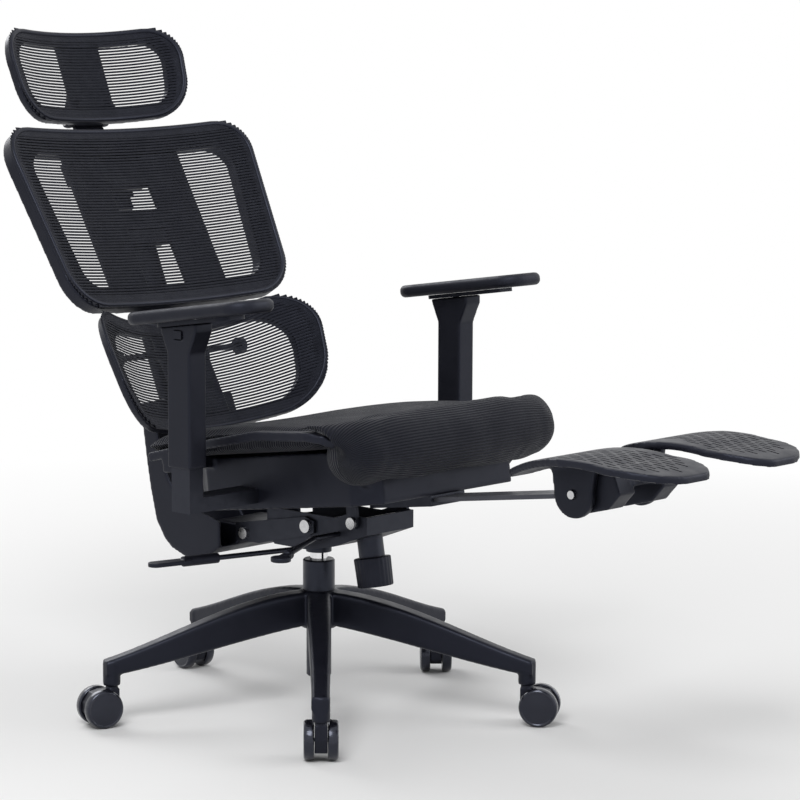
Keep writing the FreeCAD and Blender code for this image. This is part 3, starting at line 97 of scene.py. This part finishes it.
def moulded(node, name, body, finish, cell, softness):
    """A moulding with soft corners: the node's shape, remeshed fine and eased."""
    piece = taken_from(node, name)
    work(piece, "REMESH", mode="VOXEL", voxel_size=cell, adaptivity=0)
    work(piece, "SMOOTH", factor=0.5, iterations=softness)
    choose(piece)
    bpy.ops.object.shade_smooth()
    dress(piece, body, finish)
    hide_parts(node)
    return piece


def new_finish(name, colour, rough, metal=0.0):
    """A material with its shader, and its Object coordinates to build on."""
    cool_shine = (0.7, 0.76, 1, 1)
    finish = bpy.data.materials.new(name)
    finish.use_nodes = True
    tree = finish.node_tree
    shader = tree.nodes["Principled BSDF"]
    shader.inputs["Base Color"].default_value = (*colour, 1)
    shader.inputs["Roughness"].default_value = rough
    shader.inputs["Metallic"].default_value = metal
    if metal == 0:
        shader.inputs["Specular Tint"].default_value = cool_shine
    where = tree.nodes.new("ShaderNodeTexCoord")
    return finish, tree, shader, where.outputs["Object"]


def noise(tree, where, scale, detail, rough=0.55):
    """Fractal noise at a scale."""
    node = tree.nodes.new("ShaderNodeTexNoise")
    node.inputs["Scale"].default_value = scale
    node.inputs["Detail"].default_value = detail
    node.inputs["Roughness"].default_value = rough
    tree.links.new(where, node.inputs["Vector"])
    return node.outputs["Fac"]


def spread(tree, value, low, high, start=0.3, end=0.7):
    """A value brought into a range."""
    node = tree.nodes.new("ShaderNodeMapRange")
    node.inputs["From Min"].default_value = start
    node.inputs["From Max"].default_value = end
    node.inputs["To Min"].default_value = low
    node.inputs["To Max"].default_value = high
    tree.links.new(value, node.inputs["Value"])
    return node.outputs["Result"]


def mottle(tree, shader, value, colour, darkest, lightest):
    """Vary the colour by a value, between a darker and a lighter share of it."""
    ramp = tree.nodes.new("ShaderNodeValToRGB")
    low, high = ramp.color_ramp.elements
    low.position = 0.3
    high.position = 0.7
    low.color = (*[part * darkest for part in colour], 1)
    high.color = (*[part * lightest for part in colour], 1)
    tree.links.new(value, ramp.inputs["Fac"])
    tree.links.new(ramp.outputs["Color"], shader.inputs["Base Color"])


def shine(tree, shader, value, low, high):
    """Vary the roughness by a value, from low to high."""
    tree.links.new(spread(tree, value, low, high), shader.inputs["Roughness"])


def raise_by(tree, shader, height, depth, strength=1.0, under=None):
    """Bump the surface by a height, over any bump that is already there."""
    bump = tree.nodes.new("ShaderNodeBump")
    bump.inputs["Strength"].default_value = strength
    bump.inputs["Distance"].default_value = depth
    tree.links.new(height, bump.inputs["Height"])
    if under is not None:
        tree.links.new(under, bump.inputs["Normal"])
    tree.links.new(bump.outputs["Normal"], shader.inputs["Normal"])
    return bump.outputs["Normal"]


def grained_plastic(name, colour, rough, grain, depth=0.00012):
    """Moulded plastic: a fine spark grain, faint flow marks and slightly worn shine."""
    finish, tree, shader, where = new_finish(name, colour, rough)
    flow = noise(tree, where, scale=7, detail=4)
    mottle(tree, shader, flow, colour, darkest=0.82, lightest=1.2)
    wear = noise(tree, where, scale=38, detail=5)
    shine(tree, shader, wear, low=rough - 0.06, high=rough + 0.08)
    fine = noise(tree, where, scale=grain, detail=2)
    raise_by(tree, shader, fine, depth, strength=0.55)
    shader.inputs["Specular IOR Level"].default_value = 0.32
    return finish


nylon_black = (0.0052, 0.0054, 0.0088)
base_nylon = grained_plastic("base_nylon", nylon_black, rough=0.4, grain=1100, depth=0.0001)
moulded("base_star", "star_base", "base", base_nylon, cell=0.0024, softness=5)


# Casters: a nylon hood over two wheels on a steel axle, held by a steel stem.
# The wheels are smooth polyurethane with a polished side face.
def repaint(finish, *nodes):
    """Give nodes that are kept as they are a better finish."""
    for node in nodes:
        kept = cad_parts[node]
        if not kept.material_slots:
            kept.data.materials.append(finish)
        for place in kept.material_slots:
            place.material = finish


def polished_plastic(name, colour, rough):
    """Smooth moulded polyurethane: a clear skin, dust-fine scuffs and a faint mottle."""
    finish, tree, shader, where = new_finish(name, colour, rough)
    dust = noise(tree, where, scale=30, detail=3)
    mottle(tree, shader, dust, colour, darkest=0.8, lightest=1.3)
    scuffs = noise(tree, where, scale=45, detail=4)
    shine(tree, shader, scuffs, low=rough - 0.05, high=rough + 0.08)
    waves = noise(tree, where, scale=60, detail=2)
    raise_by(tree, shader, waves, depth=0.00005, strength=0.2)
    shader.inputs["Coat Weight"].default_value = 0.25
    shader.inputs["Coat Roughness"].default_value = 0.15
    return finish


def bright_metal(name, colour, rough, along):
    """Plated steel with fine turning lines across one axis."""
    finish, tree, shader, where = new_finish(name, colour, rough, metal=1.0)
    close, wide = 2200, 60
    stretch = tree.nodes.new("ShaderNodeMapping")
    stretch.inputs["Scale"].default_value = [close if axis == along else wide for axis in "xyz"]
    tree.links.new(where, stretch.inputs["Vector"])
    lines = noise(tree, stretch.outputs["Vector"], scale=1, detail=4)
    shine(tree, shader, lines, low=rough - 0.06, high=rough + 0.12)
    clouds = noise(tree, where, scale=90, detail=4)
    mottle(tree, shader, clouds, colour, darkest=0.85, lightest=1)
    raise_by(tree, shader, lines, depth=0.00003, strength=0.5)
    return finish


hood_nylon = grained_plastic("hood_nylon", (0.006, 0.006, 0.0092), rough=0.36, grain=1300, depth=0.00008)
wheel_skin = polished_plastic("wheel_skin", (0.006, 0.006, 0.009), rough=0.2)
plated_steel = bright_metal("plated_steel", (0.72, 0.72, 0.73), rough=0.26, along="x")
for number in range(1, 6):
    caster = f"caster_{number}"
    moulded(f"{caster}_hood", f"hood_{number}", caster, hood_nylon, cell=0.0011, softness=3)
    repaint(plated_steel, f"caster_{number}_pins")
    wheels = taken_from(f"caster_{number}_wheels", f"wheels_{number}")
    work(wheels, "BEVEL", width=0.0006, segments=2, limit_method="ANGLE", angle_limit=math.radians(24))
    choose(wheels)
    bpy.ops.object.shade_smooth_by_angle(angle=math.radians(40))
    dress(wheels, f"wheels_{number}", wheel_skin)
    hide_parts(f"caster_{number}_wheels")


# Gas column: a black painted tube pressed in the hub, and a hard chromed rod that slides in it.
# The tube's coat has a slight orange peel. The rod is turned and polished.
def coated_steel(name, colour, rough, peel=260):
    """Powder-coated steel: a slight orange peel and a worn shine."""
    finish, tree, shader, where = new_finish(name, colour, rough)
    clouds = noise(tree, where, scale=16, detail=5)
    mottle(tree, shader, clouds, colour, darkest=0.8, lightest=1.2)
    wear = noise(tree, where, scale=75, detail=5)
    shine(tree, shader, wear, low=rough - 0.07, high=rough + 0.1)
    orange_peel = noise(tree, where, scale=peel, detail=2)
    raise_by(tree, shader, orange_peel, depth=0.00012, strength=0.5)
    return finish


tube_paint = coated_steel("tube_paint", (0.0045, 0.0046, 0.0066), rough=0.34)
rod_chrome = bright_metal("rod_chrome", (0.86, 0.86, 0.87), rough=0.1, along="z")
repaint(tube_paint, "gas_tube")
repaint(rod_chrome, "gas_piston")


# Tilt mechanism: folded and coated steel housing, plated bolts through it, and under its nose
# the tension tube with a moulded, fluted knob.
mech_paint = coated_steel("mech_paint", (0.0055, 0.0056, 0.0078), rough=0.4)
repaint(mech_paint, "mech_housing", "tension_neck", "seat_plate", "rail_guide", "back_carrier")
repaint(plated_steel, "main_pivot_shaft", "front_pivot_rod", "spine_bolt", "seat_bolts")
knob_plastic = grained_plastic("knob_plastic", (0.0062, 0.0063, 0.0095), rough=0.46, grain=1200)

knob_root = (0, -0.114, 0.257)
knob_lean = math.radians(-10)
knob_radius = 0.0282
knob_length = 0.0452
knob_middle = (0, 0, -0.0233)
flutes = 24
flute_depth = 0.00045
foot_share = 0.965
bpy.ops.mesh.primitive_cylinder_add(
    vertices=96, radius=knob_radius, depth=knob_length, end_fill_type="TRIFAN")
knob = bpy.context.object
knob.name = "knob_grip"
shape = bmesh.new()
shape.from_mesh(knob.data)
for corner in shape.verts:
    around = math.atan2(corner.co.y, corner.co.x)
    flute = flute_depth * math.cos(around * flutes)
    out = Vector((corner.co.x, corner.co.y, 0))
    if out.length > knob_radius / 2:
        corner.co += out.normalized() * flute
        if corner.co.z < 0:
            corner.co.x *= foot_share
            corner.co.y *= foot_share
shape.to_mesh(knob.data)
shape.free()
knob_axis = Matrix.Translation(knob_root) @ Matrix.Rotation(knob_lean, 4, "X")
knob.data.transform(knob_axis @ Matrix.Translation(knob_middle))
work(knob, "BEVEL", width=0.0018, segments=3, limit_method="ANGLE", angle_limit=math.radians(50))
choose(knob)
bpy.ops.object.shade_smooth_by_angle(angle=math.radians(50))
dress(knob, "tension_knob", knob_plastic)
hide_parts("tension_knob")


# Levers: bent steel wire, sleeved in black, each ending in a moulded paddle for the right hand.
# One frees the gas column, the other the tilt of the back.
sleeve_black = coated_steel("sleeve_black", (0.006, 0.006, 0.0085), rough=0.3, peel=500)
repaint(sleeve_black, "height_lever_rod", "tilt_lever_rod")
for node, name, body in (("height_lever_paddle", "height_paddle", "height_lever"),
                         ("tilt_lever_paddle", "tilt_paddle", "tilt_lever")):
    moulded(node, name, body, knob_plastic, cell=0.001, softness=6)


# Seat tray: a tub moulded with two side arches, over the steel seat plate.
# The arches rise beside the cushion, and the tub shows below it.
shell_black = (0.0058, 0.006, 0.0095)
shell_plastic = grained_plastic("shell_plastic", shell_black, rough=0.38, grain=800)
moulded("seat_tray", "seat_shell", "seat", shell_plastic, cell=0.0026, softness=5)


# Seat cushion: moulded foam with a rolled front, under a stretched cover whose thick ribs run
# from side to side. Stuffing fills its front corners, and a short cloth simulation swells it.
seat_place = (0, -0.128, 0.318)
seat_lean = math.radians(-8)
seat_turn = Matrix.Translation(seat_place) @ Matrix.Rotation(seat_lean, 4, "X")
seat_back = seat_turn.inverted()
corner_across, corner_forward, corner_up = 0.18, -0.151, 0.113
corner_reach = (0.06, 0.054, 0.05, 1)
cushion = taken_from("seat_cushion", "cushion")
for sign in (1, -1):
    bpy.ops.mesh.primitive_uv_sphere_add(segments=32, ring_count=20, radius=1)
    stuffing = bpy.context.object
    corner_place = Matrix.Translation((sign * corner_across, corner_forward, corner_up))
    stuffing.data.transform(seat_turn @ corner_place @ Matrix.Diagonal(corner_reach))
    choose(cushion)
    stuffing.select_set(True)
    bpy.ops.object.join()
work(cushion, "REMESH", mode="VOXEL", voxel_size=0.005, adaptivity=0)
work(cushion, "SMOOTH", factor=0.5, iterations=3)
most_swell = 0.007
last_step = 20
work(cushion, "DISPLACE", strength=-0.004, mid_level=0)
start = [corner.co.copy() for corner in cushion.data.vertices]
swell = cushion.modifiers.new("Swell", "CLOTH")
swell.settings.quality = 4
swell.settings.mass = 0.3
swell.settings.use_pressure = True
swell.settings.uniform_pressure_force = 4
swell.settings.tension_stiffness = 15
swell.settings.compression_stiffness = 15
swell.settings.effector_weights.gravity = 0
for step in range(1, last_step + 1):
    bpy.context.scene.frame_set(step)
choose(cushion)
bpy.ops.object.modifier_apply(modifier="Swell")
bpy.context.scene.frame_set(1)
for corner, first in zip(cushion.data.vertices, start):
    moved = corner.co - first
    if moved.length > most_swell:
        corner.co = first + moved.normalized() * most_swell
work(cushion, "SMOOTH", factor=0.5, iterations=6)
work(cushion, "SUBSURF", levels=1, render_levels=1)
cover = cushion.data.uv_layers.new(name="cover")
nose_forward, nose_up, nose_round = -0.152, 0.112, 0.056
for face in cushion.data.polygons:
    for loop in face.loop_indices:
        spot = seat_back @ cushion.data.vertices[cushion.data.loops[loop].vertex_index].co
        along = spot.y
        if spot.y < nose_forward:
            turned = math.atan2(nose_forward - spot.y, spot.z - nose_up)
            along = nose_forward - nose_round * turned
        cover.data[loop].uv = (spot.x, along)


def threads(tree, where, across, pitch, distortion):
    """Threads side by side at a pitch. At scale 1 a wave node runs 20 radians to the metre."""
    waves = tree.nodes.new("ShaderNodeTexWave")
    waves.bands_direction = across
    waves.inputs["Scale"].default_value = math.tau / 20 / pitch
    waves.inputs["Distortion"].default_value = distortion
    tree.links.new(where, waves.inputs["Vector"])
    return waves


def ribbed_cover(name, colour, rib):
    """Stretched knit: thick ribs side by side with painted shade in their grooves and painted light on
    their crests, fine stitches along them, a dusty sheen.
    """
    finish, tree, shader, where = new_finish(name, colour, rough=0.72)
    laid = tree.nodes.new("ShaderNodeTexCoord").outputs["UV"]
    ribs = threads(tree, laid, across="Y", pitch=rib, distortion=1.1)
    ribs.inputs["Detail"].default_value = 2
    ribs.inputs["Detail Scale"].default_value = 0.22
    stitches = threads(tree, laid, across="X", pitch=0.0017, distortion=2)
    fuzz = noise(tree, where, scale=700, detail=3)
    # Painted shade and painted light: the colour follows the rib wave, darker in the grooves and lighter
    # on the crests.
    mottle(tree, shader, ribs.outputs["Fac"], colour, darkest=0.45, lightest=1.25)
    low = raise_by(tree, shader, stitches.outputs["Fac"], depth=0.0003, strength=0.5)
    low = raise_by(tree, shader, fuzz, depth=0.0002, strength=0.5, under=low)
    raise_by(tree, shader, ribs.outputs["Fac"], depth=0.0016, strength=0.9, under=low)
    wear = noise(tree, where, scale=20, detail=4)
    shine(tree, shader, wear, low=0.62, high=0.8)
    shader.inputs["Sheen Weight"].default_value = 0.07
    shader.inputs["Specular IOR Level"].default_value = 0.25
    shader.inputs["Sheen Roughness"].default_value = 0.45
    return finish


seat_cover = ribbed_cover("seat_cover", (0.0044, 0.0046, 0.0074), rib=0.0048)
choose(cushion)
bpy.ops.object.shade_smooth()
dress(cushion, "seat", seat_cover)
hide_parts("seat_cushion")


# Arm rests: a coated steel L post, a moulded sleeve that slides on it with a thumb button,
# a swivelling carrier plate, and a soft pad skinned in polyurethane.
arm_plastic = grained_plastic("arm_plastic", (0.006, 0.0062, 0.0094), rough=0.4, grain=1000)
pad_skin = grained_plastic("pad_skin", (0.0066, 0.0068, 0.0098), rough=0.5, grain=600, depth=0.0002)
for side in ("left", "right"):
    repaint(mech_paint, f"arm_post_{side}")
    repaint(arm_plastic, f"height_button_{side}", f"pad_carrier_{side}")
    moulded(f"arm_sleeve_{side}", f"sleeve_{side}", f"arm_{side}", arm_plastic,
            cell=0.0018, softness=8)
    pad = moulded(f"arm_pad_{side}", f"soft_pad_{side}", f"pad_{side}", pad_skin,
                  cell=0.002, softness=14)


# Footrest: a pale coated flat rail on its guide, a cross shaft, and two bowed foot pads,
# each one moulding with rows of staggered slots that run front to back.
rail_coat = coated_steel("rail_coat", (0.05, 0.05, 0.055), rough=0.34, peel=400)
repaint(rail_coat, "footrest_rail")
repaint(plated_steel, "footrest_shaft")
foot_plastic = grained_plastic("foot_plastic", (0.0062, 0.0064, 0.0098), rough=0.42, grain=700)
moulded("footrest_yoke", "yoke", "footrest", foot_plastic, cell=0.0018, softness=5)

slot_length = 0.021
slot_width = 0.0036
slot_pitch = 0.0275
first_slot = 0.012
cut_depth = 0.03
rows_each_way = 6
row_pitch = 0.0105
pad_middle = 0.111
front_edge, front_bow = -0.212, 0.0012
rear_edge, rear_bow, rear_peak = 0.006, 0.0022, 2
shaft_forward = -0.452
shaft_up = 0.036
bow = ((-0.234, 0.019), (-0.19, 0.032), (-0.146, 0.041), (-0.062, 0.055), (0.052, 0.039))


def middle_of_bow(forward):
    """How high over the shaft the middle of a foot pad's slab lies."""
    for (near, near_up), (far, far_up) in zip(bow, bow[1:]):
        if forward <= far:
            return near_up + (far_up - near_up) * (forward - near) / (far - near)
    return bow[-1][1]


for side, sign in (("left", 1), ("right", -1)):
    pad = taken_from(f"foot_pad_{side}", f"foot_board_{side}")
    work(pad, "REMESH", mode="VOXEL", voxel_size=0.0024, adaptivity=0)
    work(pad, "SMOOTH", factor=0.5, iterations=5)
    cutters = []
    for row in range(-rows_each_way, rows_each_way + 1):
        across = pad_middle + row * row_pitch
        front_end = front_edge + front_bow * row ** 2
        rear_end = rear_edge - rear_bow * (row - rear_peak) ** 2
        for step in range(9):
            forward = first_slot - slot_pitch * (step + 0.5 * (row % 2))
            if forward < front_end or forward > rear_end:
                continue
            bpy.ops.mesh.primitive_cylinder_add(vertices=10, radius=slot_width / 2, depth=cut_depth)
            cutter = bpy.context.object
            for corner in cutter.data.vertices:
                corner.co.y += math.copysign((slot_length - slot_width) / 2, corner.co.y)
            up = shaft_up + middle_of_bow(forward)
            spot = Matrix.Translation((sign * across, shaft_forward + forward, up))
            cutter.data.transform(seat_turn @ spot)
            cutters.append(cutter)
    bpy.ops.object.select_all(action="DESELECT")
    for cutter in cutters:
        cutter.select_set(True)
    bpy.context.view_layer.objects.active = cutters[0]
    bpy.ops.object.join()
    comb = bpy.context.object
    work(pad, "BOOLEAN", operation="DIFFERENCE", object=comb, solver="EXACT")
    bpy.data.objects.remove(comb)
    choose(pad)
    bpy.ops.object.shade_smooth_by_angle(angle=math.radians(35))
    dress(pad, "footrest", foot_plastic)
    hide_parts(f"foot_pad_{side}")


# Back spine: a hollow J moulding, from the steel carrier under the seat up to the flat column
# that holds the lumbar panel, the upper back and the headrest.
moulded("back_spine", "spine", "back", shell_plastic, cell=0.0026, softness=6)


# Mesh panels: each a moulded frame, dished towards the sitter, with an open ladder weave of thick
# bands stretched over its face and a rolled edge where the weave is held.
def dish(panel, across):
    """How far the panel's face curves towards the sitter at a distance from its middle."""
    half, wing = panel["half"], panel["wing"]
    radius = (half ** 2 + wing ** 2) / (2 * wing)
    return radius - math.sqrt(radius ** 2 - min(abs(across), half) ** 2)


def half_at(panel, up):
    """Half the panel's width at a height."""
    low, high, corner = panel["low"], panel["high"], panel["corner"]
    part_way = (up - low) / (high - low)
    side = panel["foot"] + (panel["half"] - panel["foot"]) * part_way
    into = max(up - (high - corner), (low + corner) - up, 0)
    return side - corner + math.sqrt(max(corner ** 2 - into ** 2, 0))


def on_panel(panel, across, up, behind=0.0):
    """A point of the panel's face, or behind it, in its leaning place."""
    dip_share = 0.72
    middle = 1 - (min(abs(across) / (panel["half"] * dip_share), 1)) ** 2
    part_way = (up - panel["low"]) / (panel["high"] - panel["low"])
    sunk = up - panel["dip"] * middle * part_way
    lean = math.radians(panel["lean"])
    back = behind - dish(panel, across)
    return Vector((
        across,
        panel["centre"][0] + back * math.cos(lean) + sunk * math.sin(lean),
        panel["centre"][1] - back * math.sin(lean) + sunk * math.cos(lean),
    ))


def weave(panel, name):
    """Rows of flat bands over the panel's face, wider near its border so that they close up."""
    pitch = 0.0052
    band_half = 0.0016
    band_thick = 0.0013
    crown = 0.0004
    side_room = 0.0006
    behind_face = 0.0014
    border = 0.019
    border_growth = 1.64
    rows = int((panel["high"] - panel["low"]) / pitch)
    bpy.ops.mesh.primitive_grid_add(x_subdivisions=48, y_subdivisions=2, size=2)
    woven = bpy.context.object
    woven.name = name
    woven.data.transform(Matrix.Rotation(math.radians(90), 4, "X") @ Matrix.Diagonal((1, band_half, 1, 1)))
    work(woven, "SOLIDIFY", thickness=band_thick, offset=0)
    work(woven, "ARRAY", count=rows, use_relative_offset=False, use_constant_offset=True,
         constant_offset_displace=(0, 0, pitch))
    for corner in woven.data.vertices:
        row = round(corner.co.z / pitch)
        level = panel["low"] + pitch * (row + 0.5)
        rise = corner.co.z - pitch * row
        swell = crown if abs(rise) < band_half / 3 and corner.co.y < 0 else 0
        across = corner.co.x * (half_at(panel, level) - side_room)
        to_side = half_at(panel, level) - abs(across)
        if min(to_side, panel["high"] - level, level - panel["low"]) < border:
            rise *= border_growth
        corner.co = on_panel(panel, across, level + rise, corner.co.y - swell + behind_face)
    return woven


def rolled_edge(panel, name, radius):
    """A round bead that follows the panel's outline, just inside it."""
    behind_face = 0.003
    corner, low, high = panel["corner"], panel["low"], panel["high"]
    part = 8
    side = 3 * part
    line = []
    for sign, steps in ((1, range(side + 1)), (-1, range(side, -1, -1))):
        for step in steps:
            rise = low + corner * (1 - math.cos(math.pi / 2 * min(step, part) / part))
            if step > part:
                rise = low + corner + (high - low - 2 * corner) * (min(step, 2 * part) - part) / part
            if step > 2 * part:
                rise = high - corner + corner * math.sin(math.pi / 2 * (step - 2 * part) / part)
            line.append((sign * half_at(panel, rise), rise))
        if sign == 1:
            top = line[-1][0]
            line += [(top - top * 2 * step / side, high) for step in range(1, side)]
    bottom = line[0][0]
    line += [(-bottom + bottom * 2 * step / side, low) for step in range(1, side)]
    curve = bpy.data.curves.new(name, "CURVE")
    curve.dimensions = "3D"
    spline = curve.splines.new("POLY")
    spline.points.add(len(line) - 1)
    for point, (across, up) in zip(spline.points, line):
        inwards = math.copysign(min(radius, abs(across)), across)
        spot = on_panel(panel, across - inwards, up * (1 - radius / high), behind_face)
        point.co = (*spot, 1)
    spline.use_cyclic_u = True
    curve.bevel_depth = radius
    curve.bevel_resolution = 3
    bead = bpy.data.objects.new(name, curve)
    bpy.context.scene.collection.objects.link(bead)
    choose(bead)
    bpy.ops.object.convert(target="MESH")
    bead = bpy.context.object
    bpy.ops.object.shade_smooth()
    return bead


def yarn(name, colour):
    """Spun polyester bands: fine cross threads and a soft uneven shine."""
    finish, tree, shader, where = new_finish(name, colour, rough=0.6)
    spun = threads(tree, where, across="X", pitch=0.0011, distortion=3)
    raise_by(tree, shader, spun.outputs["Fac"], depth=0.0003, strength=0.8)
    shade = noise(tree, where, scale=140, detail=4)
    mottle(tree, shader, shade, colour, darkest=0.6, lightest=1.5)
    wear = noise(tree, where, scale=30, detail=3)
    shine(tree, shader, wear, low=0.5, high=0.72)
    shader.inputs["Sheen Weight"].default_value = 0.05
    shader.inputs["Specular IOR Level"].default_value = 0.25
    return finish


weave_yarn = yarn("weave_yarn", (0.0042, 0.0044, 0.007))
panels = {
    "upper_back": {"half": 0.268, "foot": 0.236, "low": -0.16, "high": 0.16, "corner": 0.062,
                   "wing": 0.03, "dip": 0, "bead": 0.0046, "centre": (0.386, 0.758), "lean": 30},
    "lumbar": {"half": 0.245, "foot": 0.218, "low": -0.101, "high": 0.101, "corner": 0.082,
               "wing": 0.098, "dip": 0.014, "bead": 0.003, "centre": (0.284, 0.510), "lean": 30},
    "headrest": {"half": 0.194, "foot": 0.1785, "low": -0.079, "high": 0.079, "corner": 0.062,
                 "wing": 0.044, "dip": 0, "bead": 0.0046, "centre": (0.534, 0.980), "lean": 22},
}
for part, panel in panels.items():
    moulded(f"{part}_frame", f"{part}_rim", part, shell_plastic, cell=0.0022, softness=3)
    face = weave(panel, f"{part}_weave")
    dress(face, part, weave_yarn)
    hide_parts(f"{part}_mesh")
    bead = rolled_edge(panel, f"{part}_edge", panel["bead"])
    dress(bead, part, shell_plastic)


# Headrest post and the cross rods: a flat moulded bar that slides behind the upper back,
# the plated pin of the headrest's hinge, and the black rod that carries the lumbar panel.
moulded("headrest_post", "head_bar", "head_post", shell_plastic, cell=0.0012, softness=4)
repaint(plated_steel, "headrest_pin")
repaint(sleeve_black, "lumbar_rod")


# Floor, backdrop and light: a pale floor that keeps a soft shadow under the chair and goes over
# into plain white further out, with three large soft lamps.
bpy.ops.mesh.primitive_circle_add(vertices=96, radius=30, fill_type="NGON")
floor = bpy.context.object
floor.name = "floor"
floor_paint, tree, shader, where = new_finish("floor_paint", (0.86, 0.86, 0.86), 0.9)
shader.inputs["Specular IOR Level"].default_value = 0.0
away = tree.nodes.new("ShaderNodeVectorMath")
away.operation = "LENGTH"
tree.links.new(where, away.inputs[0])
far = spread(tree, away.outputs["Value"], low=0, high=1, start=0.9, end=2.6)
glow = tree.nodes.new("ShaderNodeEmission")
glow.inputs["Color"].default_value = (1, 1, 1, 1)
rays = tree.nodes.new("ShaderNodeLightPath")
seen = tree.nodes.new("ShaderNodeMath")
seen.operation = "MULTIPLY"
tree.links.new(rays.outputs["Is Camera Ray"], seen.inputs[0])
tree.links.new(far, seen.inputs[1])
both = tree.nodes.new("ShaderNodeMixShader")
tree.links.new(seen.outputs["Value"], both.inputs["Fac"])
tree.links.new(shader.outputs["BSDF"], both.inputs[1])
tree.links.new(glow.outputs["Emission"], both.inputs[2])
tree.links.new(both.outputs["Shader"], tree.nodes["Material Output"].inputs["Surface"])
floor.data.materials.append(floor_paint)

world = bpy.data.worlds.new("studio")
bpy.context.scene.world = world
world.use_nodes = True
tree = world.node_tree
air = tree.nodes["Background"]
air.inputs["Color"].default_value = (1, 1, 1, 1)
rays = tree.nodes.new("ShaderNodeLightPath")
any_seen = tree.nodes.new("ShaderNodeMath")
any_seen.operation = "MAXIMUM"
tree.links.new(rays.outputs["Is Camera Ray"], any_seen.inputs[0])
tree.links.new(rays.outputs["Is Transmission Ray"], any_seen.inputs[1])
with_gloss = tree.nodes.new("ShaderNodeMath")
with_gloss.operation = "MAXIMUM"
tree.links.new(any_seen.outputs["Value"], with_gloss.inputs[0])
tree.links.new(rays.outputs["Is Glossy Ray"], with_gloss.inputs[1])
brightness = spread(tree, with_gloss.outputs["Value"], low=0.42, high=1.0, start=0, end=1)
tree.links.new(brightness, air.inputs["Strength"])

lit_middle = Vector((0, 0, 0.55))
for name, place, size, power in (
    ("key", (-2.6, -1.6, 3.4), 2.2, 95),
    ("fill", (2.4, -2.8, 2.2), 2.6, 45),
    ("rim", (0.6, 3.2, 2.8), 2.4, 60),
):
    bpy.ops.object.light_add(type="AREA", location=place)
    lamp = bpy.context.object
    lamp.name = name
    lamp.data.shape = "DISK"
    lamp.data.size = size
    lamp.data.energy = power
    lamp.rotation_euler = (lit_middle - Vector(place)).to_track_quat("-Z", "Y").to_euler()

bpy.context.scene.view_settings.view_transform = "Standard"
